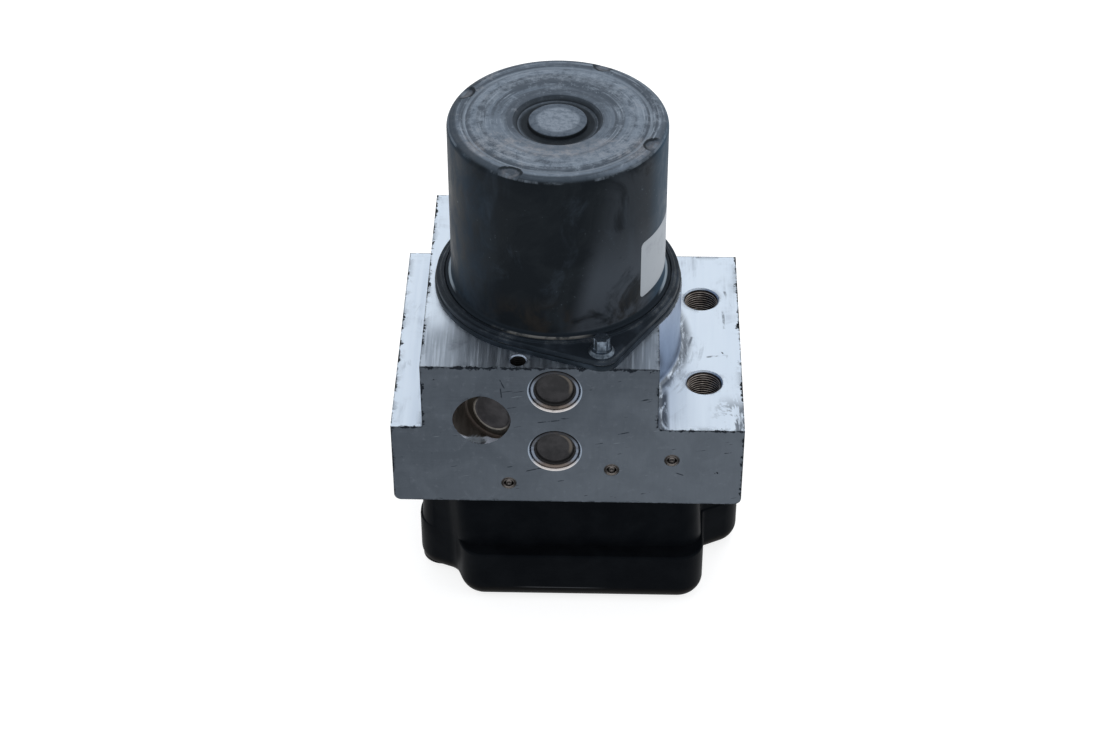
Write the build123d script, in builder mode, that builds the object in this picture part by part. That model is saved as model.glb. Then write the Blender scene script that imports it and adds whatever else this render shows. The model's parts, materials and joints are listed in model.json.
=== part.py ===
from build123d import *
from math import cos, radians, sin, tan
import os

# Anti-lock brake unit: a machined aluminium hydraulic block with a pump motor on
# top and the electronic control unit underneath. Millimetres. The origin is on
# the motor axis, in the plane that the unit stands on; +X is to the right of the
# plug face, +Y goes back from it and +Z goes up along the motor axis.

os.makedirs("parts", exist_ok=True)

# ---------------------------------------------------------------- driving sizes

# clearances
press_gap = 0.02  # radial, pieces of one body that are pressed or laid together
running_gap = 0.04  # radial, shafts and pistons in their bores
moving_gap = 0.3  # between pieces that pass or meet each other without a fit

# control unit
ecu_height = 47.5
lid_joint_z = 16.0  # where the lid is welded to the housing
rim_top_z = 21.5
deck_z = 21.0
deck_thickness = 2.5
board_z = 13.2
board_thickness = 1.6
ecu_wall = 2.4
lid_floor = 2.4
lid_edge_radius = 6.5
ledge_depth = 5.4  # how far the coil chamber's front wall stands back
wall_draft = 3.0  # degrees
seal_inset = 0.7
seal_thickness = 1.0
seal_depth = 1.2
ecu_left = 48.3
ecu_right = 64.5
front_bay_left = 31.0
front_bay_right = 51.7
bay_flare = 4.5  # how much wider the bay's left side is where it meets the ear
left_ear_front = 31.2
right_ear_front = 16.9
left_ear_slope = 5.2  # how far the ears' front edges run forward to the bay
right_ear_slope = 6.5
left_ear_length = 9.2
left_ear_step = 2.1  # the left ear stands out this far past the side behind it
ear_step_length = 8.0
ear_step_radius = 12.0
ear_root_radius = 6.0
back_corner_radius = 9.0
right_root_radius = 2.5
rim_edge = 0.8
wall_inset = 0.8
screw_radius = 2.4
screw_head_radius = 4.2
screw_head_height = 4.0
screw_depth = 11.0  # thread in the block
screw_tower_radius = 5.2
chimney_radius = 5.7
chimney_wall = 1.5
screw_places = [(-40.5, -25.5), (54.5, -6.5), (-38.5, 36.5), (54.5, 36.5)]
hanging_post_places = [(-40.5, 8.0), (-20.0, -36.0), (40.0, -36.0), (58.0, 20.0)]
standing_post_places = [(-20.0, -30.0), (40.0, -30.0), (4.0, 34.0)]
post_radius = 2.2
board_clearance = 1.0
board_part_height = 2.2
processor_size = 20.0
driver_size = (10.0, 8.0)
relay_size = (14.0, 12.0)

# harness connector behind the control unit
connector_length = 66.0
connector_depth = 30.0
connector_top_z = 42.0
connector_wall = 2.2
connector_floor_z = 20.0
connector_root_z = 6.0
pin_columns = 10
pin_pitch = 3.6
pin_width = 0.8
power_pin_width = 5.0
power_pin_offset = 24.5
row_offset = 3.6
pin_tip_z = 36.0
pin_lead_z = 16.4
pin_row_rise = 1.6  # the rear row's leads run this far above the front row's
pin_leg_step = 3.0
pin_leg_inset = 5.0
shroud_corner = 3.5
shroud_root = 4.0  # how far the shroud reaches into the housing
cavity_corner = 2.0

# hydraulic block
block_width = 118.0
block_depth = 96.3
block_offset = 4.2  # how far the block reaches further right than left
lower_height = 32.8
raised_height = 25.9
raised_left = 44.2
raised_right = 34.3
motor_pad_radius = 42.2
cutter_cove = 1.8
block_corner = 2.5

# motor
can_radius = 36.2
can_wall = 2.0
can_height = 62.2
can_edge = 2.6
can_foot_radius = 38.2
can_foot_thickness = 1.2
end_plate_thickness = 3.7
gasket_thickness = 1.7
plate_radius = 41.4
lobe_radius = 5.6
gasket_reach = 0.5  # the gasket stands out this far past the plate
plate_rib_radius = 39.9
plate_rib_height = 0.7
bolt_x = 15.2
bolt_y = 43.3
bolt_radius = 2.4
bolt_flange_radius = 4.4
bolt_flange_height = 1.3
bolt_head_height = 4.3
bolt_flange_taper = 30.0
bolt_web_radius = 2.3
bolt_lobe_place = 2.13
bolt_lobe_radius = 0.67
bolt_depth = 13.0  # thread in the block
hub_cap_radius = 9.75
hub_sink = 0.7  # the hub's cap lies this far below the can's top
hub_cap_edge = 0.5
moat_radius = 14.3
moat_depth = 2.4
inner_step_radius = 21.2
inner_step = 0.6
outer_groove_radius = 30.6
outer_groove_width = 1.5
outer_groove_depth = 0.5
stake_angles = [65.0, 155.0, 245.0, 335.0]
stake_radius = 34.2
stake_ball = 5.0
stake_depth = 0.9
shaft_radius = 4.0
tail_radius = 3.0
front_bearing_radius = 11.0
front_bearing_width = 6.9
rear_bearing_radius = 8.0
rear_bearing_width = 5.0
hub_wall = 2.1
hub_lip = 0.8  # ledge under the front bearing
core_radius = 27.2
core_length = 24.0
core_start = 17.2  # above the end plate
core_slots = 12
slot_width = 3.4
slot_depth = 11.0
slot_mouth_depth = 2.4
slot_mouth_cut = 5.2
end_turn_height = 6.8
end_turn_inner = 11.0
end_turn_outer = 25.4
end_turn_edge = 1.8
commutator_radius = 10.0
commutator_length = 8.5
commutator_bars = 12
commutator_start = 1.2
commutator_slot_depth = 0.8
commutator_slot_width = 0.5
magnet_thickness = 6.0
magnet_arc = 140.0
magnet_length = 37.0
label_angles = (-40.0, 32.0)
label_bottom = 6.4  # above the end plate
label_height = 22.2
label_thickness = 0.15

# brush gear
brush_plate_thickness = 2.0
brush_plate_radius = 33.6
brush_width = 5.0
brush_length = 10.0
brush_room = 0.15
brush_box_wall = 1.2
brush_spring_length = 6.0
brush_spring_radius = 1.7
brush_spring_wire = 0.3
brush_spring_turns = 4
brush_box_start = 2.2  # past the commutator
brush_plate_opening = 1.4  # round the commutator
lead_slot = 1.4
terminal_x = -20.0
terminal_radius = 3.6
terminal_pitch = 3.0
terminal_width = 1.2

# pump
pump_height = 48.9  # pump axis above the block's bottom
eccentricity = 1.0
eccentric_journal = 6.0
eccentric_bearing_radius = 8.5
eccentric_width = 9.0
shaft_stub = 1.2
chamber_radius = 11.3
chamber_floor = 8.0  # below the pump axis
piston_radius = 3.2
piston_length = 18.0
piston_tip_edge = 0.6
piston_passage = 1.1
cylinder_radius = 5.55
cylinder_start = 12.2
cylinder_flange_start = 33.0
cylinder_end = 36.4
cylinder_bore_end = 34.4
cylinder_outlet = 0.9
inlet_groove_start = 5.0  # behind the flange
inlet_groove_width = 3.0
inlet_groove_depth = 0.8
plug_radius = 7.25
plug_setback = 0.9  # plug rim behind the block's face
plug_rim = 0.75
plug_dish_depth = 1.4
plug_dish_taper = 12.0
plug_centre_radius = 4.5
plug_centre_taper = 35.0
plug_back_radius = 2.5
plug_mouth_radius = 8.8
plug_mouth_depth = 1.5
stake_ring_width = 0.8
pump_spring_radius = 2.5
pump_spring_wire = 0.35
pump_spring_turns = 4

# accumulators
accumulator_height = 23.0  # axis above the block's bottom
accumulator_floor = 22.0
accumulator_piston_length = 10.0
accumulator_crown = 3.0
accumulator_skirt = 1.3
accumulator_plug_length = 4.5
accumulator_spring_radius = 4.0
accumulator_spring_wire = 0.55
accumulator_spring_turns = 5
seal_start = 5.2  # from the piston's crown
seal_width = 1.8
seal_groove_depth = 1.1

# damper in the slanted bore
damper_x = 22.8
damper_height = 36.0
damper_tilt = 25.0
damper_mouth_radius = 10.2
damper_seat_depth = 4.8
damper_cap_radius = 7.3
damper_cap_proud = 0.6
damper_body_radius = 6.6
damper_depth = 18.0
damper_rim = 0.7
damper_dish_depth = 0.5
damper_dish_taper = 20.0
damper_wall = 1.6
damper_hollow_depth = 12.6

# ports and holes in the block
main_port_x = 50.1
main_port_y = 23.0
main_port_radius = 6.0
main_port_mouth = 6.45
wheel_port_radius = 5.0
wheel_port_x = [-30.0, 24.0]
wheel_port_heights = [27.5, 44.5]
port_depth = 13.0
port_passage_radius = 1.7
port_passage_depth = 7.0
top_hole_x = -12.1
top_hole_y = -44.1
top_hole_radius = 2.6
top_hole_mouth = 3.0
top_hole_depth = 9.5
side_hole_radius = 3.0
side_hole_depth = 12.0
side_hole_height = 16.0
side_hole_y = -6.0

# sealing plugs over the drilled passages
expander_places = [(-15.6, 8.2), (19.1, 14.8), (39.3, 19.4)]
expander_radius = 2.6
expander_length = 7.0
expander_proud = 0.3
expander_ball_radius = 1.5
expander_inner_radius = 1.55
passage_radius = 1.5
passage_end = 17.0

# solenoid valves and coils
valve_shares = [-0.307, -0.137, 0.092, 0.27]  # of the block's width, from its middle
valve_row_y = 13.0
valve_body_radius = 4.75
valve_depth = 21.5
valve_collar_radius = 5.9
valve_collar_height = 2.0
valve_tip_radius = 3.2
valve_body_lengths = {"inlet": 13.3, "outlet": 15.9}
filter_groove_start = 9.0
filter_groove_width = 2.4
filter_groove_depth = 0.7
dome_edge = 2.0
dome_radius = 3.4
dome_length = 20.5
coil_radius = 9.3
coil_height = 21.5
coil_flange = 1.6
coil_waist = 8.5
coil_pin_width = 1.0
coil_pin_offset = 6.2
pin_room = 0.3

# ----------------------------------------------------------------- shared places

block_bottom = ecu_height
step_z = block_bottom + lower_height
motor_seat_z = step_z + raised_height
front_y = -block_depth / 2
left_x = block_offset - block_width / 2
right_x = block_offset + block_width / 2
valve_x = [block_offset + share * block_width for share in valve_shares]
plate_bottom_z = motor_seat_z + gasket_thickness
plate_top_z = motor_seat_z + end_plate_thickness
can_top_z = plate_top_z + can_height
hub_top_z = can_top_z - hub_sink
pump_z = block_bottom + pump_height
accumulator_z = block_bottom + accumulator_height
chamber_floor_z = pump_z - chamber_floor
swept_radius = eccentric_bearing_radius + eccentricity
piston_tip = swept_radius + moving_gap
front_bearing_z = plate_top_z - front_bearing_width
hub_bottom_z = front_bearing_z - hub_lip
hub_radius = front_bearing_radius + hub_wall
core_z = plate_top_z + core_start
rear_bearing_z = can_top_z - can_wall - rear_bearing_width
board_top_z = board_z + board_thickness
deck_top_z = deck_z + deck_thickness
sides = (("front", -1), ("rear", 1))
bolt_places = [(bolt_x, -bolt_y), (-bolt_x, bolt_y)]


def side_plane(side, distance, height, x=0.0):
    """A plane facing out of the front (-1) or rear (1) face, at a distance from the axis."""
    return Plane(origin=(x, side * distance, height), x_dir=(1, 0, 0), z_dir=(0, side, 0))


def drill(radius, depth, *planes):
    """Cut a round hole into the part from each plane, against the plane's normal."""
    with Locations(*planes):
        Cylinder(radius, depth, align=(Align.CENTER, Align.CENTER, Align.MAX), mode=Mode.SUBTRACT)


def finish(part, name):
    """Label a finished piece and write its STEP file."""
    part.label = name
    export_step(part, "parts/" + name + ".step")


# ------------------------------------------------------------------ hydraulic block

damper_axis = (-sin(radians(damper_tilt)), -cos(radians(damper_tilt)), 0)
damper_plane = Plane(
    origin=(-damper_x, front_y, block_bottom + damper_height),
    x_dir=(cos(radians(damper_tilt)), -sin(radians(damper_tilt)), 0),
    z_dir=damper_axis,
)
damper_reach = damper_mouth_radius * tan(radians(damper_tilt)) + 1.0
valve_places = [(x, side * valve_row_y) for side in (-1, 1) for x in valve_x]
plug_bore_radius = plug_radius + press_gap

with BuildPart() as hydraulic_block:
    with BuildSketch(Plane.XY.offset(block_bottom)):
        with Locations((block_offset, 0)):
            Rectangle(block_width, block_depth)
    extrude(amount=lower_height)
    fillet(hydraulic_block.edges().filter_by(Axis.Y).group_by(Axis.Z)[0], block_corner)
    with BuildSketch(Plane.XY.offset(step_z)):
        with Locations(((raised_right - raised_left) / 2, 0)):
            Rectangle(raised_left + raised_right, block_depth)
        Circle(motor_pad_radius)
    extrude(amount=raised_height)
    wall_foot = hydraulic_block.edges().filter_by_position(Axis.Z, step_z, step_z)
    fillet(wall_foot.filter_by_position(Axis.X, raised_right - 0.1, motor_pad_radius + 0.1), cutter_cove)

    # motor seat, eccentric chamber and the way through for the motor's terminals
    drill(hub_radius + press_gap, motor_seat_z - hub_bottom_z + moving_gap, Plane.XY.offset(motor_seat_z))
    drill(chamber_radius, motor_seat_z - chamber_floor_z, Plane.XY.offset(motor_seat_z))
    terminal_plane = Plane(origin=(terminal_x, 0, motor_seat_z))
    drill(terminal_radius + moving_gap, motor_seat_z - block_bottom, terminal_plane)
    bolt_planes = [Plane(origin=(x, y, motor_seat_z)) for x, y in bolt_places]
    drill(bolt_radius + press_gap, bolt_depth, *bolt_planes)

    for name, side in sides:
        # pump bore: cylinder bore, flange seat and plug mouth
        pump_face = side_plane(side, block_depth / 2, pump_z)
        drill(cylinder_radius + press_gap, block_depth / 2, pump_face)
        drill(plug_bore_radius, block_depth / 2 - cylinder_flange_start, pump_face)
        drill(plug_mouth_radius, plug_mouth_depth, pump_face)
        # accumulator bore and plug mouth
        store_face = side_plane(side, block_depth / 2, accumulator_z)
        drill(plug_bore_radius, block_depth / 2 - accumulator_floor, store_face)
        drill(plug_mouth_radius, plug_mouth_depth, store_face)
        # rolled-in rings of metal that hold the plugs
        for face in (pump_face, store_face):
            with BuildSketch(face.offset(-plug_mouth_depth)):
                Circle(plug_bore_radius + stake_ring_width)
                Circle(plug_bore_radius, mode=Mode.SUBTRACT)
            extrude(amount=plug_mouth_depth - plug_setback / 2)
        # drilled passages with seats for the sealing plugs
        passage_faces = [side_plane(side, block_depth / 2, block_bottom + z, x) for x, z in expander_places]
        drill(expander_radius + press_gap, expander_length - expander_proud, *passage_faces)
        drill(passage_radius, block_depth / 2 - passage_end, *passage_faces)

    # slanted damper bore
    drill(damper_mouth_radius, damper_seat_depth + damper_reach, damper_plane.offset(damper_reach))
    drill(damper_body_radius + press_gap, damper_seat_depth + damper_depth, damper_plane)

    # valve bores in the bottom face
    valve_planes = [Plane(origin=(x, y, block_bottom), z_dir=(0, 0, -1)) for x, y in valve_places]
    drill(valve_body_radius + press_gap, valve_depth, *valve_planes)
    drill(valve_collar_radius + press_gap, valve_collar_height, *valve_planes)
    screw_planes = [Plane(origin=(x, y, block_bottom), z_dir=(0, 0, -1)) for x, y in screw_places]
    drill(screw_radius + press_gap, screw_depth, *screw_planes)

    # two main ports in the right step and four wheel ports in the rear face
    main_planes = [Plane(origin=(main_port_x, y, step_z)) for y in (-main_port_y, main_port_y)]
    wheel_planes = [
        side_plane(1, block_depth / 2, block_bottom + z, x)
        for x in wheel_port_x
        for z in wheel_port_heights
    ]
    drill(main_port_radius, port_depth, *main_planes)
    drill(wheel_port_radius, port_depth, *wheel_planes)
    drill(port_passage_radius, port_depth + port_passage_depth, *main_planes, *wheel_planes)
    mouth_rise = main_port_mouth - main_port_radius
    with Locations(*main_planes):
        Cone(main_port_radius, main_port_mouth, mouth_rise,
             align=(Align.CENTER, Align.CENTER, Align.MAX), mode=Mode.SUBTRACT)
    with Locations(*wheel_planes):
        Cone(wheel_port_radius, wheel_port_radius + mouth_rise, mouth_rise,
             align=(Align.CENTER, Align.CENTER, Align.MAX), mode=Mode.SUBTRACT)

    # threaded holes that hold the unit in its bracket
    top_hole = Plane(origin=(top_hole_x, top_hole_y, motor_seat_z))
    drill(top_hole_radius, top_hole_depth, top_hole)
    with Locations(top_hole):
        Cone(top_hole_radius, top_hole_mouth, top_hole_mouth - top_hole_radius,
             align=(Align.CENTER, Align.CENTER, Align.MAX), mode=Mode.SUBTRACT)
    side_hole_z = block_bottom + side_hole_height
    left_hole = Plane(origin=(left_x, side_hole_y, side_hole_z), z_dir=(-1, 0, 0))
    right_hole = Plane(origin=(right_x, side_hole_y, side_hole_z), z_dir=(1, 0, 0))
    drill(side_hole_radius, side_hole_depth, left_hole, right_hole)
finish(hydraulic_block.part, "hydraulic_block")

# ------------------------------------------------------------- motor seat and end plate


def flange_outline(reach):
    """Round flange with two bolt lobes, drawn as the hull of three circles."""
    with BuildSketch() as outline:
        Circle(plate_radius + reach)
        with Locations(*bolt_places):
            Circle(lobe_radius + reach)
        make_hull()
    return outline.sketch


with BuildPart() as motor_gasket:
    with BuildSketch(Plane.XY.offset(motor_seat_z)):
        add(flange_outline(gasket_reach))
        Circle(can_radius, mode=Mode.SUBTRACT)
        with Locations(*bolt_places):
            Circle(bolt_radius + moving_gap, mode=Mode.SUBTRACT)
    extrude(amount=gasket_thickness)
    gasket_rim = motor_gasket.faces().sort_by(Axis.Z)[-1].outer_wire().edges()
    fillet(gasket_rim, gasket_thickness / 3)
finish(motor_gasket.part, "motor_gasket")

with BuildPart() as motor_end_plate:
    with BuildSketch(Plane.XY.offset(plate_bottom_z)):
        add(flange_outline(0))
    extrude(amount=plate_top_z - plate_bottom_z)
    # centre that rests on the block, and the hub that carries the front bearing
    with BuildSketch(Plane.XY.offset(motor_seat_z)):
        Circle(can_radius - press_gap)
    extrude(amount=end_plate_thickness)
    with BuildSketch(Plane.XY.offset(hub_bottom_z)):
        Circle(hub_radius)
    extrude(amount=motor_seat_z - hub_bottom_z)
    # raised rib round the edge
    with BuildSketch(Plane.XY.offset(plate_top_z)):
        Circle(plate_rib_radius)
        Circle(can_foot_radius + moving_gap, mode=Mode.SUBTRACT)
    extrude(amount=plate_rib_height)
    drill(front_bearing_radius + press_gap, front_bearing_width, Plane.XY.offset(plate_top_z))
    drill(swept_radius, plate_top_z - hub_bottom_z, Plane.XY.offset(plate_top_z))
    terminal_top = Plane(origin=(terminal_x, 0, plate_top_z))
    drill(terminal_radius + press_gap, end_plate_thickness, terminal_top)
    plate_bolts = [Plane(origin=(x, y, plate_top_z)) for x, y in bolt_places]
    drill(bolt_radius + moving_gap, end_plate_thickness, *plate_bolts)
finish(motor_end_plate.part, "motor_end_plate")

for (name, side), (x, y) in zip(sides, bolt_places):
    with BuildPart() as motor_bolt:
        with BuildSketch(Plane(origin=(x, y, motor_seat_z - bolt_depth + moving_gap))):
            Circle(bolt_radius)
        extrude(amount=end_plate_thickness + bolt_depth - moving_gap)
        with BuildSketch(Plane(origin=(x, y, plate_top_z))):
            Circle(bolt_flange_radius)
        extrude(amount=bolt_flange_height, taper=bolt_flange_taper)
        # six-lobed head
        with BuildSketch(Plane(origin=(x, y, plate_top_z))):
            Circle(bolt_web_radius)
            with PolarLocations(bolt_lobe_place, 6):
                Circle(bolt_lobe_radius)
        extrude(amount=bolt_flange_height + bolt_head_height)
    finish(motor_bolt.part, "motor_bolt_" + name)

# ------------------------------------------------------------------------ motor can

with BuildPart() as motor_can:
    with BuildSketch(Plane.XZ) as can_section:
        with BuildLine():
            Polyline(
                (0, hub_top_z),
                (hub_cap_radius, hub_top_z),
                (hub_cap_radius, can_top_z - moat_depth),
                (moat_radius, can_top_z - moat_depth),
                (moat_radius, can_top_z - inner_step),
                (inner_step_radius, can_top_z - inner_step),
                (inner_step_radius, can_top_z),
                (outer_groove_radius - outer_groove_width, can_top_z),
                (outer_groove_radius - outer_groove_width, can_top_z - outer_groove_depth),
                (outer_groove_radius, can_top_z - outer_groove_depth),
                (outer_groove_radius, can_top_z),
                (can_radius, can_top_z),
                (can_radius, plate_top_z + can_foot_thickness),
                (can_foot_radius, plate_top_z + can_foot_thickness),
                (can_foot_radius, plate_top_z),
                (can_radius - can_wall, plate_top_z),
                (can_radius - can_wall, can_top_z - can_wall),
                (moat_radius + can_wall, can_top_z - can_wall),
                (moat_radius + can_wall, can_top_z - moat_depth - can_wall),
                (hub_cap_radius, can_top_z - moat_depth - can_wall),
                (hub_cap_radius, rear_bearing_z),
                (rear_bearing_radius + press_gap, rear_bearing_z),
                (rear_bearing_radius + press_gap, can_top_z - can_wall),
                (0, can_top_z - can_wall),
                close=True,
            )
        make_face()
    revolve(axis=Axis.Z)
    rim_edges = motor_can.edges().filter_by(GeomType.CIRCLE).filter_by_position(Axis.Z, can_top_z, can_top_z)
    fillet(rim_edges.sort_by(SortBy.RADIUS)[-1], can_edge)
    hub_edges = motor_can.edges().filter_by(GeomType.CIRCLE).filter_by_position(Axis.Z, hub_top_z, hub_top_z)
    fillet(hub_edges.sort_by(SortBy.RADIUS)[0], hub_cap_edge)
    # four stake marks on the rounded top edge
    for angle in stake_angles:
        with Locations(Location((0, 0, can_top_z), (0, 0, angle))):
            with Locations((stake_radius, 0, stake_ball - stake_depth)):
                Sphere(stake_ball, mode=Mode.SUBTRACT)
finish(motor_can.part, "motor_can")

label_middle_radius = can_radius + press_gap + label_thickness / 2
with BuildPart() as can_label:
    with BuildSketch(Plane.XZ.rotated((0, 0, label_angles[0]))):
        with Locations((label_middle_radius, plate_top_z + label_bottom + label_height / 2)):
            Rectangle(label_thickness, label_height)
    revolve(axis=Axis.Z, revolution_arc=label_angles[1] - label_angles[0])
finish(can_label.part, "can_label")

# ------------------------------------------------------------- magnets and bearings

magnet_outer = can_radius - can_wall - press_gap
magnet_z = core_z + core_length / 2 - magnet_length / 2
for name, angle in (("front", 270.0), ("rear", 90.0)):
    with BuildPart() as magnet:
        with BuildSketch(Plane.XZ.rotated((0, 0, angle - magnet_arc / 2))):
            with Locations((magnet_outer - magnet_thickness / 2, magnet_z + magnet_length / 2)):
                Rectangle(magnet_thickness, magnet_length)
        revolve(axis=Axis.Z, revolution_arc=magnet_arc)
    finish(magnet.part, "magnet_" + name)


def bearing(bottom, width, outer, bore, ring):
    """A sealed ball bearing: two rings with a sunk shield between them."""
    with BuildPart() as race:
        with BuildSketch(Plane.XY.offset(bottom)):
            Circle(outer)
            Circle(bore, mode=Mode.SUBTRACT)
        extrude(amount=width)
        for height in (bottom, bottom + width):
            with BuildSketch(Plane.XY.offset(height)):
                Circle(outer - ring)
                Circle(bore + ring, mode=Mode.SUBTRACT)
            extrude(amount=ring / 4, both=True, mode=Mode.SUBTRACT)
    return race.part


finish(bearing(front_bearing_z, front_bearing_width, front_bearing_radius,
               shaft_radius + running_gap, 2.0), "front_bearing")
finish(bearing(rear_bearing_z, rear_bearing_width, rear_bearing_radius,
               tail_radius + running_gap, 1.4), "rear_bearing")

# -------------------------------------------------------------------------- armature

slot_middle = core_radius - slot_depth / 2
slot_room = 0.25
shaft_end_z = rear_bearing_z + rear_bearing_width - moving_gap
eccentric_z = pump_z - eccentric_width / 2
winding_z = core_z - end_turn_height

with BuildPart() as motor_shaft:
    with BuildSketch(Plane.XY.offset(eccentric_z)):
        Circle(shaft_radius)
    extrude(amount=core_z + core_length + end_turn_height - eccentric_z)
    with BuildSketch(Plane.XY.offset(eccentric_z)):
        Circle(tail_radius)
    extrude(amount=shaft_end_z - eccentric_z)
    # eccentric that drives the pump pistons
    with BuildSketch(Plane(origin=(0, -eccentricity, eccentric_z))):
        Circle(eccentric_journal)
    extrude(amount=eccentric_width)
    with BuildSketch(Plane.XY.offset(eccentric_z - shaft_stub)):
        Circle(shaft_radius)
    extrude(amount=shaft_stub)
finish(motor_shaft.part, "motor_shaft")

with BuildPart() as eccentric_bearing:
    with BuildSketch(Plane(origin=(0, -eccentricity, eccentric_z))):
        Circle(eccentric_bearing_radius)
        Circle(eccentric_journal + press_gap, mode=Mode.SUBTRACT)
    extrude(amount=eccentric_width)
finish(eccentric_bearing.part, "eccentric_bearing")

with BuildPart() as armature_core:
    with BuildSketch(Plane.XY.offset(core_z)):
        Circle(core_radius)
        Circle(shaft_radius + press_gap, mode=Mode.SUBTRACT)
        # slots narrow to a mouth between the tooth tips
        with PolarLocations(slot_middle - slot_mouth_depth / 2, core_slots):
            Rectangle(slot_depth - slot_mouth_depth, slot_width, mode=Mode.SUBTRACT)
        with PolarLocations(core_radius, core_slots):
            Rectangle(slot_mouth_cut, slot_width / 3, mode=Mode.SUBTRACT)
    extrude(amount=core_length)
finish(armature_core.part, "armature_core")

with BuildPart() as armature_windings:
    for start in (winding_z, core_z + core_length):
        with BuildSketch(Plane.XY.offset(start)):
            Circle(end_turn_outer)
            Circle(end_turn_inner, mode=Mode.SUBTRACT)
        extrude(amount=end_turn_height)
    outer_rims = armature_windings.edges().filter_by(GeomType.CIRCLE).sort_by(Axis.Z)
    fillet([outer_rims[0], outer_rims[1], outer_rims[-1], outer_rims[-2]], end_turn_edge)
    with BuildSketch(Plane.XY.offset(core_z)):
        with PolarLocations(slot_middle - slot_mouth_depth / 2, core_slots):
            Rectangle(slot_depth - slot_mouth_depth - 2 * slot_room, slot_width - 2 * slot_room)
    extrude(amount=core_length)
finish(armature_windings.part, "armature_windings")

commutator_z = plate_top_z + commutator_start
with BuildPart() as commutator:
    with BuildSketch(Plane.XY.offset(commutator_z)):
        Circle(commutator_radius)
        Circle(shaft_radius + press_gap, mode=Mode.SUBTRACT)
        with PolarLocations(commutator_radius, commutator_bars, start_angle=15):
            Rectangle(2 * commutator_slot_depth, commutator_slot_width, mode=Mode.SUBTRACT)
    extrude(amount=commutator_length)
    # tangs that the winding ends hook on to
    with BuildSketch(Plane.XY.offset(commutator_z + commutator_length)):
        Circle(end_turn_inner - moving_gap)
        Circle(shaft_radius + press_gap, mode=Mode.SUBTRACT)
    extrude(amount=winding_z - commutator_z - commutator_length)
finish(commutator.part, "commutator")

# ------------------------------------------------------------------------ brush gear

brush_z = plate_top_z + brush_plate_thickness
brush_tip = commutator_radius + moving_gap
brush_back = brush_tip + brush_length
box_inside = brush_width + 2 * brush_room
box_outside = box_inside + 2 * brush_box_wall
box_start = commutator_radius + brush_box_start
box_end = brush_back + brush_spring_length
box_length = box_end + brush_box_wall - box_start
box_height = brush_width + brush_room + brush_box_wall
terminal_end_z = block_bottom - 1.5
brush_sides = (("left", -1), ("right", 1))

with BuildPart() as brush_holder:
    with BuildSketch(Plane.XY.offset(plate_top_z)):
        Circle(brush_plate_radius)
        Circle(commutator_radius + brush_plate_opening, mode=Mode.SUBTRACT)
    extrude(amount=brush_plate_thickness)
    for name, side in brush_sides:
        box_middle = side * (box_start + box_length / 2)
        with BuildSketch(Plane.XY.offset(brush_z)):
            with Locations((box_middle, 0)):
                Rectangle(box_length, box_outside)
        extrude(amount=box_height)
        with BuildSketch(Plane.XY.offset(brush_z)):
            with Locations((side * (commutator_radius + box_end) / 2, 0)):
                Rectangle(box_end - commutator_radius, box_inside)
        extrude(amount=brush_width + brush_room, mode=Mode.SUBTRACT)
        # slot for the brush's flexible lead
        with BuildSketch(Plane.XY.offset(brush_z + brush_width)):
            with Locations((side * (brush_back + brush_spring_length / 2), 0)):
                Rectangle(brush_spring_length, lead_slot)
        extrude(amount=2 * brush_box_wall, mode=Mode.SUBTRACT)
    # stem that carries the two terminals through the block
    with BuildSketch(Plane.XY.offset(terminal_end_z)):
        with Locations((terminal_x, 0)):
            Circle(terminal_radius)
    extrude(amount=plate_top_z - terminal_end_z)
    terminal_pin_places = [(terminal_x, side * terminal_pitch / 2) for side in (-1, 1)]
    with BuildSketch(Plane.XY.offset(terminal_end_z)):
        with Locations(*terminal_pin_places):
            Rectangle(terminal_width, terminal_width)
    extrude(amount=brush_z - terminal_end_z, mode=Mode.SUBTRACT)
finish(brush_holder.part, "brush_holder")

with BuildPart() as motor_terminals:
    with BuildSketch(Plane.XY.offset(board_top_z)):
        with Locations(*terminal_pin_places):
            Rectangle(terminal_width - press_gap, terminal_width - press_gap)
    extrude(amount=brush_z - board_top_z)
finish(motor_terminals.part, "motor_terminals")


def coil_spring(plane, length, radius, wire, turns):
    """An open wire spring that stands on a plane, its ends a wire's radius inside its length."""
    with BuildPart() as spring:
        with BuildLine():
            helix = Helix((length - 2 * wire) / turns, length - 2 * wire, radius, center=(0, 0, wire))
        with BuildSketch(Plane(origin=helix @ 0, z_dir=helix % 0)):
            RegularPolygon(wire, 6)
        sweep(path=helix, is_frenet=True)
    return spring.part.moved(plane.location)


for name, side in brush_sides:
    with BuildPart() as brush:
        with BuildSketch(Plane.XY.offset(brush_z + moving_gap / 2)):
            with Locations((side * (commutator_radius + brush_back) / 2, 0)):
                Rectangle(brush_back - commutator_radius, brush_width)
            Circle(brush_tip, mode=Mode.SUBTRACT)
        extrude(amount=brush_width - moving_gap / 2)
    finish(brush.part, "brush_" + name)
    spring_plane = Plane(
        origin=(side * brush_back, 0, brush_z + brush_width / 2), x_dir=(0, 1, 0), z_dir=(side, 0, 0)
    )
    spring = coil_spring(spring_plane, brush_spring_length, brush_spring_radius, brush_spring_wire,
                         brush_spring_turns)
    finish(spring, "brush_spring_" + name)

# ----------------------------------------------------------------- pumps, front and rear

plug_outer = block_depth / 2 - plug_setback


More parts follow.
